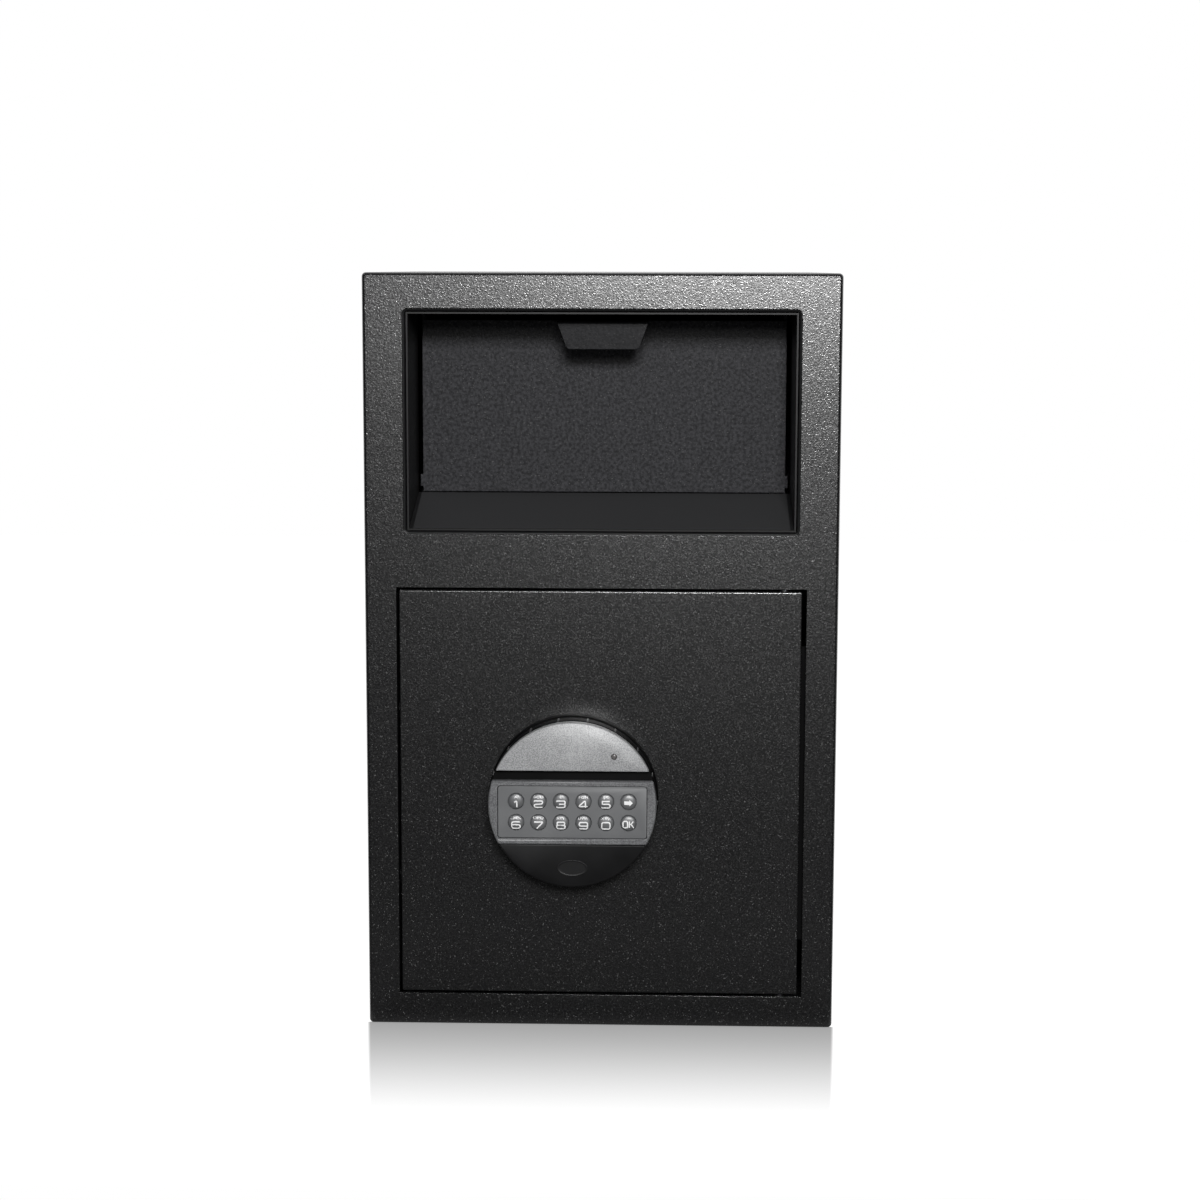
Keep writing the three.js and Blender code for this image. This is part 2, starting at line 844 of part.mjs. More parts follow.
function doorPanel() {
  const slab = standing(
    roundedRect(doorLeft, doorRight, doorBottom, doorTop, doorCornerRadius),
    [frontFace, frontFace + doorPlate],
    doorEdgeRadius,
    2,
  );
  const holeRadius = spindleRadius + spindleBoreClearance;
  const hole = rod(holeRadius, frontFace - overcut, frontFace + doorPlate + overcut);
  return cut(slab, turnedAlongY(hole, knobX, knobZ));
}

function doorCover() {
  const right = doorRight - coverHingeInset;
  const bottom = doorBottom + coverEndInset;
  const top = doorTop - coverEndInset;
  const back = doorBack + coverDepth;
  const shell = cut(
    block([coverLeft, right], [doorBack, back], [bottom, top]),
    block(
      [coverLeft + coverSheet, right - coverSheet],
      [doorBack - overcut, back - coverSheet],
      [bottom + coverSheet, top - coverSheet],
    ),
  );
  const hole = rod(boltRadius + 2 * runGap, coverLeft - overcut, coverLeft + coverSheet + overcut);
  return cut(shell, ...boltHeights().map((z) => turnedAlongX(hole, boltY, z)));
}

function boltGuideBar() {
  const left = doorLeft + guideBarInset;
  const bar = block(
    [left, left + guideBarWidth],
    [doorBack, doorBack + guideBarDepth],
    [doorBottom + coverEndInset, doorTop - coverEndInset],
  );
  const hole = rod(boltRadius + runGap, left - overcut, left + guideBarWidth + overcut);
  return cut(bar, ...boltHeights().map((z) => turnedAlongX(hole, boltY, z)));
}

function hingeSideBar() {
  return block(
    [doorRight - hingeBarLand, doorRight + hingeBarOverlap],
    [doorBack, doorBack + hingeBarThickness],
    [doorBottom + hingeBarEndInset, doorTop - hingeBarEndInset],
  );
}

function hingeLug(zLow) {
  const body = block(
    [hingeX - hingeLugSide, hingeX + hingeLugSide],
    [doorBack, doorBack + hingeLugDepth],
    [zLow, zLow + hingeLugHeight],
  );
  const hole = rod(hingePinRadius + seatGap, zLow - overcut, zLow + hingeLugHeight + overcut);
  return cut(body, turnedAlongZ(hole, hingeX, hingeY, 20));
}

function addHinges() {
  const upperBracket = openingTop + hingeBracketGap;
  const lowerBracket = openingSill - hingeBracketGap - hingeBracketThickness;
  const upperLug = doorTop - hingeLugInset - hingeLugHeight;
  const lowerLug = doorBottom + hingeLugInset;
  const upperPin = rod(hingePinRadius, upperLug, upperBracket + hingeBracketThickness);
  const lowerPin = rod(hingePinRadius, lowerBracket, lowerLug + hingeLugHeight);
  add('hinge_bracket_upper', hingeBracket(upperBracket), 'steel');
  add('hinge_bracket_lower', hingeBracket(lowerBracket), 'steel');
  add('hinge_lug_upper', hingeLug(upperLug), 'steel');
  add('hinge_lug_lower', hingeLug(lowerLug), 'steel');
  add('hinge_pin_upper', turnedAlongZ(upperPin, hingeX, hingeY, 20), 'steel');
  add('hinge_pin_lower', turnedAlongZ(lowerPin, hingeX, hingeY, 20), 'steel');
}

// Bolt work

function camPinPlace() {
  const half = camPinOrbit / Math.SQRT2;
  return { x: knobX + half, z: knobZ + half };
}

function boltCarriage() {
  const left = carriageLeft;
  const web = [boltY - carriageSheet / 2, boltY + carriageSheet / 2];
  const barHalf = boltSpread / 2 + carriageBarOverhang;
  const armHalf = carriageArmHeight / 2;
  const armEnd = knobX + carriageArmReach;
  const plate = standing(outlineOf([
    [left, knobZ - barHalf],
    [left + carriageBarWidth, knobZ - barHalf],
    [left + carriageBarWidth, knobZ - armHalf],
    [armEnd, knobZ - armHalf],
    [armEnd, knobZ + armHalf],
    [left + carriageBarWidth, knobZ + armHalf],
    [left + carriageBarWidth, knobZ + barHalf],
    [left, knobZ + barHalf],
  ]), web);
  const flange = block(
    [left, left + carriageSheet],
    [boltY - carriageFlange / 2, boltY + carriageFlange / 2],
    [knobZ - barHalf, knobZ + barHalf],
  );
  const pin = camPinPlace();
  const slotHalf = camPinRadius + camPinClearance;
  const slotTop = knobZ + camPinOrbit + slotHalf;
  const through = [web[0] - overcut, web[1] + overcut];
  const pinOutline = slot(pin.x - slotHalf, pin.x + slotHalf, pin.z - slotHalf, slotTop);
  const pinSlot = standing(pinOutline, through, 0, 4);
  const guideHalf = studRadius + runGap;
  const guideSlots = studPlaces().map(({ x }) => standing(
    slot(x - guideHalf, x + boltThrow + guideHalf, knobZ - guideHalf, knobZ + guideHalf),
    through,
    0,
    4,
  ));
  const spigotHole = rod(boltSpigotRadius + seatGap, left - overcut, left + carriageSheet + overcut);
  const spigotHoles = boltHeights().map((z) => turnedAlongX(spigotHole, boltY, z, 12));
  const roomHalf = boltSpigotRadius + spigotRoomGap;
  const spigotRoom = boltHeights().map((z) => (
    block([left + carriageSheet, left + carriageBarWidth / 2], through, [z - roomHalf, z + roomHalf])
  ));
  return cut(join(plate, flange), pinSlot, ...guideSlots, ...spigotHoles, ...spigotRoom);
}

function lockBolt(z) {
  const shoulder = carriageLeft - seatGap;
  return turnedAlongX([
    [0, boltTip],
    [boltRadius - boltChamfer, boltTip],
    [boltRadius, boltTip + boltChamfer],
    [boltRadius, shoulder],
    [boltSpigotRadius, shoulder],
    [boltSpigotRadius, shoulder + boltSpigotLength],
    [0, shoulder + boltSpigotLength],
  ], boltY, z);
}

function studPlaces() {
  return [
    { name: 'left', x: knobX - studLeftReach },
    { name: 'right', x: knobX + studRightReach },
  ];
}

function guideStud(x) {
  const headSeat = boltY + carriageSheet / 2 + runGap;
  return turnedAlongY([
    [0, doorBack],
    [studRadius, doorBack],
    [studRadius, headSeat],
    [studHeadRadius, headSeat],
    [studHeadRadius, headSeat + studHeadThickness],
    [0, headSeat + studHeadThickness],
  ], x, knobZ, 16);
}

// The lock case fills the room between the end of the bolt carriage and the side of the cover.
function lockCase() {
  const left = knobX + carriageArmReach + lockCaseSideGap;
  const right = doorRight - coverHingeInset - coverSheet - lockCaseEndGap;
  const half = lockCaseHeight / 2;
  const outline = roundedRect(left, right, knobZ - half, knobZ + half, lockCaseCornerRadius);
  return standing(outline, [doorBack, doorBack + lockCaseDepth], 0, 3);
}

function driveSpindle() {
  const cam = frontFace + camDepth;
  const camBack = cam + camThickness;
  const shaft = turnedAlongY([
    [0, knobRear - spindleSocketDepth + seatGap],
    [spindleRadius, knobRear - spindleSocketDepth + seatGap],
    [spindleRadius, doorBack + seatGap],
    [spindleCollarRadius, doorBack + seatGap],
    [spindleCollarRadius, cam],
    [camRadius, cam],
    [camRadius, camBack],
    [0, camBack],
  ], knobX, knobZ, 32);
  const pin = camPinPlace();
  const pinEnd = boltY + carriageSheet / 2 + camPinProud;
  return join(shaft, turnedAlongY(rod(camPinRadius, camBack - overcut, pinEnd), pin.x, pin.z, 12));
}

function addDoor() {
  add('latch_jamb', latchJamb(), 'satinPaint');
  add('door_plate', doorPanel(), 'texturedPaint');
  add('door_cover', doorCover(), 'satinPaint');
  add('bolt_guide_bar', boltGuideBar(), 'satinPaint');
  add('hinge_side_bar', hingeSideBar(), 'satinPaint');
  addHinges();
  add('bolt_carriage', boltCarriage(), 'zinc');
  ['upper', 'lower'].forEach((name, i) => add(`bolt_${name}`, lockBolt(boltHeights()[i]), 'steel'));
  studPlaces().forEach(({ name, x }) => add(`guide_stud_${name}`, guideStud(x), 'steel'));
  add('lock_case', lockCase(), 'zinc');
  add('drive_spindle', driveSpindle(), 'steel');
}

// Knob

function knobBase() {
  const seat = frontFace - seatGap;
  const face = frontFace - baseRingHeight;
  const bore = spindleRadius + spindleBoreClearance;
  const edge = roundedSection(
    baseRingRadius - baseRingEdge,
    face + baseRingEdge,
    baseRingEdge,
    baseRingEdge,
    0,
    -90,
    3,
  );
  const profile = [[bore, seat], [baseRingRadius, seat], ...edge, [bore, face], [bore, seat]];
  return turnedAlongY(profile, knobX, knobZ, knobSides);
}

function knobBody() {
  const socket = spindleRadius + seatGap;
  const rebate = knobRear - knobRebateDepth;
  const drum = turnedAlongY([
    [0, knobRear - spindleSocketDepth],
    [socket, knobRear - spindleSocketDepth],
    [socket, knobRear],
    [knobRadius - knobRebateWidth, knobRear],
    [knobRadius - knobRebateWidth, rebate],
    [knobRadius, rebate],
    [knobRadius, drumFace],
    [0, drumFace],
  ], knobX, knobZ, knobSides);
  return join(drum, lowerSegment(), emblemPad(), ...sideRibs());
}

// The dark lower segment leans back a little towards the bottom of the knob.
function lowerFaceY(z) {
  const chord = blockBottomChord - seatGap;
  return drumFace - lowerThickness + lowerSlope * (chord - z);
}

function lowerSegment() {
  const points = discBottom(knobRadius - insertInset, blockBottomChord - seatGap).getPoints(20);
  const rear = points.map(({ x, y }) => [knobX + x, drumFace + overcut, knobZ + y]);
  const front = points.map(({ x, y }) => [knobX + x, lowerFaceY(y), knobZ + y]);
  return skin([rear, front], false);
}

function emblemPad() {
  const steps = 32;
  const ellipse = Array.from({ length: steps }, (_, i) => {
    const angle = (2 * Math.PI * i) / steps;
    return [(emblemWidth / 2) * Math.cos(angle), -emblemDrop + (emblemHeight / 2) * Math.sin(angle)];
  });
  const loop = (lift) => ellipse.map(([x, z]) => [knobX + x, lowerFaceY(z) - lift, knobZ + z]);
  return skin([loop(-overcut), loop(emblemRelief)], false);
}

function sideRibs() {
  const rear = knobRear - knobRebateDepth;
  return Array.from({ length: ribCount }, (_, i) => {
    const turn = ((i + 0.5) * 2 * Math.PI) / ribCount;
    return block(
      [-ribWidth / 2, ribWidth / 2],
      [drumFace, rear],
      [knobRadius - overcut, knobRadius + ribHeight],
    ).rotateY(turn).translate(knobX, 0, knobZ);
  });
}

function batteryCover() {
  const shape = discTop(knobRadius - insertInset, batteryChord);
  const cover = standing(shape, [batteryFace, insertBack], insertEdge, 16)
    .translate(knobX, 0, knobZ);
  const ledHole = rod(ledRadius + seatGap, batteryFace - overcut, insertBack + overcut);
  return cut(cover, turnedAlongY(ledHole, knobX + ledRight, knobZ + ledUp, 16));
}

function statusLed() {
  const face = batteryFace - ledProud;
  return turnedAlongY([
    [0, insertBack],
    [ledRadius, insertBack],
    [ledRadius, face + ledProud],
    [ledTipRadius, face],
    [0, face],
  ], knobX + ledRight, knobZ + ledUp, 16);
}

function padRect(inset, radius) {
  const halfWidth = padWidth / 2 - inset;
  const halfHeight = padHeight / 2 - inset;
  return roundedRect(
    knobX - halfWidth,
    knobX + halfWidth,
    padCentreZ - halfHeight,
    padCentreZ + halfHeight,
    radius,
  );
}

function keypadBlock() {
  const shape = discBand(knobRadius - insertInset, blockBottomChord, blockTopChord);
  const body = standing(shape, [blockFace, insertBack], blockEdge, 8)
    .translate(knobX, 0, knobZ);
  const seat = padBack + seatGap;
  const recess = standing(padRect(0, padRadius), [blockFace - overcut, seat], 0, 4);
  const pocketSpan = [seat - overcut, padBack + padPocketDepth];
  const pocket = standing(padRect(padLedge, padRadius / 2), pocketSpan, 0, 2);
  return cut(body, recess, pocket);
}

function keyPlaces() {
  const middle = (keyRows[0].length - 1) / 2;
  return keyRows.flatMap((row, rowIndex) => row.map((label, column) => ({
    label,
    x: knobX + (column - middle) * keyColumnPitch,
    z: knobZ - keyRowDrop + (0.5 - rowIndex) * keyRowPitch,
  })));
}

function keypadPanel() {
  const face = standing(padRect(padBorderGap, padRadius - padBorderGap), [padFace, padBack], 0, 4);
  const hole = rod(keyRadius + seatGap, padFace - overcut, padBack + overcut);
  return cut(face, ...keyPlaces().map(({ x, z }) => turnedAlongY(hole, x, z, keySides)));
}

function keyCap({ x, z }) {
  const flangeFront = padBack + seatGap;
  const rim = padFace - keyShoulder;
  const dome = roundedSection(0, rim, keyRadius, keyDome, 0, -90, 3);
  return turnedAlongY([
    [0, flangeFront + keyFlangeThickness],
    [keyRadius + keyFlangeWidth, flangeFront + keyFlangeThickness],
    [keyRadius + keyFlangeWidth, flangeFront],
    [keyRadius, flangeFront],
    ...dome,
  ], x, z, keySides);
}

function addKnob() {
  add('knob_base', knobBase(), 'darkPlastic');
  add('knob_body', knobBody(), 'darkPlastic');
  add('battery_cover', batteryCover(), 'greyPlastic');
  add('status_led', statusLed(), 'lens');
  add('keypad_block', keypadBlock(), 'greyPlastic');
  add('keypad_panel', keypadPanel(), 'padPlastic');
  keyPlaces().forEach((place) => add(`key_${place.label}`, keyCap(place), 'keyPlastic'));
}

addCase();
addBay();
addDrawer();
addDoor();
addKnob();

export default safe;
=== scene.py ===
import json
import math

import bmesh
import bpy
from mathutils import Matrix, Vector


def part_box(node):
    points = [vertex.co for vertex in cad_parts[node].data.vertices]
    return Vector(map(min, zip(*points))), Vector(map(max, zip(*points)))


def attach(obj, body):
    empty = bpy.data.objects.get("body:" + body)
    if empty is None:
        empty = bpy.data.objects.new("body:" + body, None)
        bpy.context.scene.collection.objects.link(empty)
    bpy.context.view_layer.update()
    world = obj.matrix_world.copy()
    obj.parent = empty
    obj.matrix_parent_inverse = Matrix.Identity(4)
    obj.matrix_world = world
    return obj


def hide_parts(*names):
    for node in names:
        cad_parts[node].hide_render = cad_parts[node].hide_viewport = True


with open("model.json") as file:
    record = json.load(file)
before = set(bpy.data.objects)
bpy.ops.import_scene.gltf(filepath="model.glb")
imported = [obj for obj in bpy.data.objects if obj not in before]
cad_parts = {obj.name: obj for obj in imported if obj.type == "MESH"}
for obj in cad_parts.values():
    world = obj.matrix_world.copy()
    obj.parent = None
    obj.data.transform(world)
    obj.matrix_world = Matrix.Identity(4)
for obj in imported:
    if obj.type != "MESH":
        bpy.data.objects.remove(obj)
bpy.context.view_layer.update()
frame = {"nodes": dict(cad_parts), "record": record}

# Sizes of pieces are in millimetres, as in the part's source, and turn into metres in mesh_of.
# Places in materials and sizes of the camera, the floor and the lamps are in metres.
MM = 0.001

# Materials


class Nodes:
    """A short way to write a node tree."""

    def __init__(self, tree):
        self.tree = tree
        tree.nodes.clear()

    def add(self, kind, settings=None, **inputs):
        node = self.tree.nodes.new(kind)
        for name, value in (settings or {}).items():
            setattr(node, name, value)
        for name, value in inputs.items():
            self.put(node, name.replace("_", " "), value)
        return node

    def put(self, node, name, value):
        if isinstance(name, int):
            socket = node.inputs[name]
        else:
            socket = next(s for s in node.inputs if s.name.lower() == name.lower() and s.enabled)
        if isinstance(value, bpy.types.NodeSocket):
            self.tree.links.new(value, socket)
        else:
            socket.default_value = value


def mixed(n, factor, a, b):
    node = n.add("ShaderNodeMix", {"data_type": "FLOAT"})
    n.put(node, 0, factor)
    n.put(node, 2, a)
    n.put(node, 3, b)
    return node.outputs[0]


def coloured(n, factor, a, b):
    node = n.add("ShaderNodeMix", {"data_type": "RGBA"})
    n.put(node, 0, factor)
    n.put(node, 6, (*a, 1) if isinstance(a, tuple) else a)
    n.put(node, 7, (*b, 1) if isinstance(b, tuple) else b)
    return node.outputs[2]


def noise(n, place, scale, detail=2.0, roughness=0.5):
    node = n.add("ShaderNodeTexNoise", {"noise_dimensions": "3D"})
    n.put(node, "Vector", place)
    n.put(node, "Scale", scale)
    n.put(node, "Detail", detail)
    n.put(node, "Roughness", roughness)
    return node.outputs[0]


def ramp(n, value, low, high):
    node = n.add("ShaderNodeMapRange", {"interpolation_type": "SMOOTHSTEP"})
    n.put(node, "Value", value)
    n.put(node, "From Min", low)
    n.put(node, "From Max", high)
    return node.outputs[0]


def maths(n, operation, a, b=0.5):
    node = n.add("ShaderNodeMath", {"operation": operation})
    n.put(node, 0, a)
    n.put(node, 1, b)
    return node.outputs[0]


def surface(name):
    material = bpy.data.materials.new(name)
    material.use_nodes = True
    n = Nodes(material.node_tree)
    shader = n.add("ShaderNodeBsdfPrincipled")
    out = n.add("ShaderNodeOutputMaterial")
    n.tree.links.new(shader.outputs[0], out.inputs[0])
    place = n.add("ShaderNodeTexCoord").outputs["Object"]
    return material, n, shader, place


def bumped(n, shader, layers, edge=None):
    """layers: (height, distance in metres, strength)."""
    normal = None
    if edge:
        normal = n.add("ShaderNodeBevel", {"samples": 4}, Radius=edge).outputs[0]
    for height, distance, strength in layers:
        bump = n.add("ShaderNodeBump", Height=height, Distance=distance, Strength=strength)
        if normal is not None:
            n.put(bump, "Normal", normal)
        normal = bump.outputs[0]
    n.put(shader, "Normal", normal)


# Bounds of the inner faces of the case: half the width, the front and the back, the floor and the roof
lining_half_width = 0.1675
lining_front, lining_back = -0.1875, 0.1875
lining_floor, lining_roof = 0.0025, 0.546


def inside_case(n, place):
    """1 on the inner faces of the case, which have a dull primer only, and 0 on the outer ones."""
    part = n.add("ShaderNodeSeparateXYZ", Vector=place).outputs
    across = maths(n, "LESS_THAN", maths(n, "ABSOLUTE", part["X"]), lining_half_width)
    behind = maths(n, "GREATER_THAN", part["Y"], lining_front)
    before = maths(n, "LESS_THAN", part["Y"], lining_back)
    low = maths(n, "GREATER_THAN", part["Z"], lining_floor)
    high = maths(n, "LESS_THAN", part["Z"], lining_roof)
    level = maths(n, "MULTIPLY", low, high)
    return maths(n, "MULTIPLY", maths(n, "MULTIPLY", across, level), maths(n, "MULTIPLY", behind, before))


def textured_paint(name, level, roughness, grain_scale, depth, dark, light, sparkle, lined=False):
    """Black powder coat with a fine wrinkle, and sparse light specks in its colour that stand in for the
    coat's glints: painted glints.
    """
    material, n, shader, place = surface(name)
    grain = noise(n, place, grain_scale, 1.5, 0.6)
    orange_peel = noise(n, place, grain_scale / 3, 2.0, 0.5)
    mottle = ramp(n, noise(n, place, grain_scale * 0.7, 2.0, 0.6), 0.3, 0.7)
    # painted glints: sparse light specks in the base colour, in the tone given by sparkle
    painted_glints = ramp(n, noise(n, place, 1050, 0.0, 0.5), 0.76, 0.81)
    base = coloured(n, mottle, (dark, dark, dark * 1.08), (light, light, light * 1.08))
    base = coloured(n, painted_glints, base, (sparkle, sparkle, sparkle))
    if lined:
        inside = inside_case(n, place)
        primer = coloured(n, mottle, (0.0188, 0.0188, 0.0201), (0.0348, 0.0348, 0.0362))
        base = coloured(n, inside, base, primer)
        level = mixed(n, inside, level, 0.03)
    n.put(shader, "Base Color", base)
    n.put(shader, "Roughness", mixed(n, ramp(n, grain, 0.3, 0.7), roughness - 0.045, roughness + 0.035))
    n.put(shader, "Specular IOR Level", level)
    flake = ramp(n, noise(n, place, 1150, 0.0, 0.5), 0.56, 0.80)
    bumped(n, shader, [(orange_peel, depth, 0.5), (grain, depth, 0.95), (flake, depth, 0.4)], edge=0.00045)
    return material


# Where the smooth paint is painted darker, as painted shade: on the turned front edges, and on the side walls
# of the bay
shaded_edge_front = -0.1880
shaded_wall_half_width = 0.1350


def satin_paint():
    """Smooth satin black paint inside the bay and on the hidden sheet metal, with painted shade on the bay's
    side walls and turned front edges.
    """
    material, n, shader, place = surface("satin_paint")
    grain = noise(n, place, 700, 2.0, 0.5)
    wave = noise(n, place, 60, 1.0, 0.4)
    drift = noise(n, place, 7, 2.0, 0.5)
    base = coloured(n, drift, (0.0335, 0.0339, 0.0351), (0.0429, 0.0433, 0.0449))
    across = n.add("ShaderNodeSeparateXYZ", Vector=place).outputs
    # painted shade: a darker colour on the turned front edges and on the bay's side walls
    edge = maths(n, "LESS_THAN", across["Y"], shaded_edge_front)
    shaded_wall = maths(n, "GREATER_THAN", maths(n, "ABSOLUTE", across["X"]), shaded_wall_half_width)
    base = coloured(n, shaded_wall, base, (0.0121, 0.0122, 0.0127))
    n.put(shader, "Base Color", coloured(n, edge, base, (0.0094, 0.0094, 0.0096)))
    n.put(shader, "Roughness", mixed(n, grain, 0.38, 0.46))
    n.put(shader, "Specular IOR Level", 0.15)
    bumped(n, shader, [(wave, 0.0001, 0.15), (grain, 0.00001, 0.35)])
    return material


def trim_paint():
    """Smooth dark paint on the rounded trim of the bay."""
    material, n, shader, place = surface("trim_paint")
    cloud = noise(n, place, 90, 2.0, 0.5)
    n.put(shader, "Base Color", coloured(n, cloud, (0.0087, 0.0088, 0.0092), (0.0121, 0.0122, 0.0127)))
    n.put(shader, "Roughness", mixed(n, cloud, 0.34, 0.42))
    n.put(shader, "Specular IOR Level", 0.09)
    return material


# Two tones of the darkest pieces: the knob's drum and base ring, and the painted shade on the bar behind the
# door gap
near_black = (0.0016, 0.0016, 0.0017), (0.0029, 0.0029, 0.0031)


def painted_gap_shade():
    """Near-black colour on the bar that fills the view through the door gap: painted shade, so that the gap
    reads dark.
    """
    material, n, shader, place = surface("painted_gap_shade")
    cloud = noise(n, place, 120, 2.0, 0.5)
    n.put(shader, "Base Color", coloured(n, cloud, *near_black))
    n.put(shader, "Roughness", mixed(n, cloud, 0.7, 0.85))
    n.put(shader, "Specular IOR Level", 0.05)
    return material


def metal(name, colour, roughness, grain_scale):
    """Plated or bare metal with fine lines across and a slight blotch."""
    material, n, shader, place = surface(name)
    stretch = n.add("ShaderNodeMapping")
    n.put(stretch, "Vector", place)
    n.put(stretch, "Scale", (1.0, 0.06, 1.0))
    lines = noise(n, stretch.outputs[0], grain_scale, 3.0, 0.6)
    blotch = noise(n, place, 35, 2.0, 0.5)
    dark = tuple(c * 0.82 for c in colour)
    n.put(shader, "Base Color", coloured(n, blotch, dark, colour))
    n.put(shader, "Metallic", 1.0)
    n.put(shader, "Roughness", mixed(n, lines, roughness - 0.06, roughness + 0.1))
    bumped(n, shader, [(lines, 0.00003, 0.3)], edge=0.0003)
    return material


def plastic(name, dark, light, roughness, level, grain_scale, grain_depth, fleck=0.0):
    """Moulded plastic or rubber between two tones. A fleck of 1 has only the fine pattern."""
    material, n, shader, place = surface(name)
    grain = noise(n, place, grain_scale, 2.0, 0.6)
    drift = noise(n, place, 40, 2.0, 0.5)
    fine = noise(n, place, grain_scale * 2.2, 3.0, 0.7)
    shade = maths(n, "ADD", maths(n, "MULTIPLY", drift, 1.0 - fleck), maths(n, "MULTIPLY", fine, fleck))
    n.put(shader, "Base Color", coloured(n, ramp(n, shade, 0.3, 0.7), dark, light))
    n.put(shader, "Roughness", mixed(n, grain, roughness - 0.05, roughness + 0.07))
    n.put(shader, "Specular IOR Level", level)
    bumped(n, shader, [(grain, grain_depth, 0.5)], edge=0.0002)
    return material


def lens():
    """Dark lens of the status light."""
    material, n, shader, place = surface("led_lens")
    cloud = noise(n, place, 900, 1.0, 0.5)
    n.put(shader, "Base Color", coloured(n, cloud, (0.0737, 0.0710, 0.0710), (0.147, 0.139, 0.137)))
    n.put(shader, "Roughness", mixed(n, cloud, 0.20, 0.28))
    return material


flecked = {"roughness": 0.42, "level": 0.5, "grain_scale": 560, "grain_depth": 0.00012, "fleck": 0.85}
paints = {
    "textured_paint": textured_paint(
        "textured_paint", level=0.92, roughness=0.251, grain_scale=820, depth=0.000066,
        dark=0.0016, light=0.0070, sparkle=0.100, lined=True,
    ),
    "satin_paint": satin_paint(),
    "zinc": metal("zinc", (0.55, 0.56, 0.57), roughness=0.34, grain_scale=500),
    "steel": metal("steel", (0.46, 0.47, 0.49), roughness=0.28, grain_scale=800),
    "dark_plastic": plastic(
        "dark_plastic", (0.0070, 0.0070, 0.0074), (0.0114, 0.0114, 0.0121),
        roughness=0.45, level=0.22, grain_scale=1500, grain_depth=0.00003,
    ),
    "grey_plastic": plastic("grey_plastic", (0.0469, 0.0482, 0.0523), (0.214, 0.217, 0.222), **flecked),
    "pad_plastic": plastic(
        "pad_plastic", (0.114, 0.117, 0.121), (0.134, 0.137, 0.141),
        roughness=0.48, level=0.45, grain_scale=1800, grain_depth=0.00002,
    ),
    "key_plastic": plastic(
        "key_plastic", (0.0804, 0.0831, 0.0871), (0.105, 0.107, 0.111),
        roughness=0.42, level=1.0, grain_scale=1500, grain_depth=0.00002,
    ),
    "led_lens": lens(),
    "black_rubber": plastic(
        "black_rubber", (0.0134, 0.0134, 0.0134), (0.0241, 0.0241, 0.0241),
        roughness=0.7, level=0.35, grain_scale=1200, grain_depth=0.00005,
    ),
}
drum_plastic = plastic(
    "drum_plastic", *near_black, roughness=0.5, level=0.05, grain_scale=1500, grain_depth=0.00002
)
# The ribs are the drum's plastic made lighter: painted highlight, for the light ticks they catch round the
# knob
lit_rib_plastic = plastic(
    "lit_rib_plastic", (0.0402, 0.0402, 0.0415), (0.0670, 0.0670, 0.0697),
    roughness=0.35, level=0.55, grain_scale=1500, grain_depth=0.00001,
)
legend_ink = plastic(
    "legend_ink", (0.80, 0.80, 0.80), (0.88, 0.88, 0.88),
    roughness=0.45, level=0.4, grain_scale=2500, grain_depth=0.00001,
)
# A lighter copy of the grey plastic for the knob's upper segment: painted light, for the brighter light that
# falls on it from above
lit_cover_plastic = plastic("lit_cover_plastic", (0.134, 0.137, 0.141), (0.436, 0.440, 0.446), **flecked)
drawer_paint = textured_paint(
    "drawer_paint", level=0.03, roughness=0.4, grain_scale=600, depth=0.00014,
    dark=0.020, light=0.048, sparkle=0.107,
)
pull_paint = textured_paint(
    "pull_paint", level=0.04, roughness=0.34, grain_scale=900, depth=0.00006,
    dark=0.013, light=0.023, sparkle=0.04,
)
gap_shade = painted_gap_shade()

slot_of = {part["node"]: part["material_slot"] for part in frame["record"]["subparts"]}
# The bar behind the door gap carries painted shade.
own_paint = {"drawer_front": drawer_paint, "drawer_pull": pull_paint, "hinge_side_bar": gap_shade,
             "bay_trim": trim_paint()}
for node, shown in frame["nodes"].items():
    shown.data.materials.clear()
    shown.data.materials.append(own_paint.get(node, paints[slot_of[node]]))

# Mesh helpers

merge_distance = 1e-7
sharp_angle = 32
bevel_angle = 35


def mesh_of(name, vertices, faces, merge=True):
    """A mesh in metres with its faces turned outwards, from vertices in millimetres."""
    mesh = bpy.data.meshes.new(name)
    mesh.from_pydata([tuple(c * MM for c in v) for v in vertices], [], faces)
    tidy = bmesh.new()
    tidy.from_mesh(mesh)
    if merge:
        bmesh.ops.remove_doubles(tidy, verts=tidy.verts, dist=merge_distance)
    bmesh.ops.recalc_face_normals(tidy, faces=tidy.faces)
    tidy.to_mesh(mesh)
    tidy.free()
    return mesh


def in_scene(name, data):
    thing = bpy.data.objects.new(name, data)
    bpy.context.scene.collection.objects.link(thing)
    return thing


def make_piece(name, vertices, faces, body, slot, material=None, bevel=0.0, sharp=sharp_angle, replaces=()):
    """A visible piece that rides on a body. It may replace nodes of the CAD."""
    piece = in_scene(name, mesh_of(name, vertices, faces))
    if bevel:
        rounding = piece.modifiers.new("rounding", "BEVEL")
        rounding.width = bevel * MM
        rounding.segments = 3
        rounding.limit_method = "ANGLE"
        rounding.angle_limit = math.radians(bevel_angle)
        rounding.harden_normals = True
        apply_modifiers(piece)
    piece.data.shade_smooth()
    piece.data.set_sharp_from_angle(angle=math.radians(sharp))
    piece.data.materials.append(material or paints[slot])
    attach(piece, body)
    if replaces:
        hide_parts(*replaces)
    return piece


def apply_modifiers(piece):
    bpy.context.view_layer.update()
    made = bpy.data.meshes.new_from_object(piece.evaluated_get(bpy.context.evaluated_depsgraph_get()))
    made.name = piece.name
    piece.modifiers.clear()
    piece.data = made


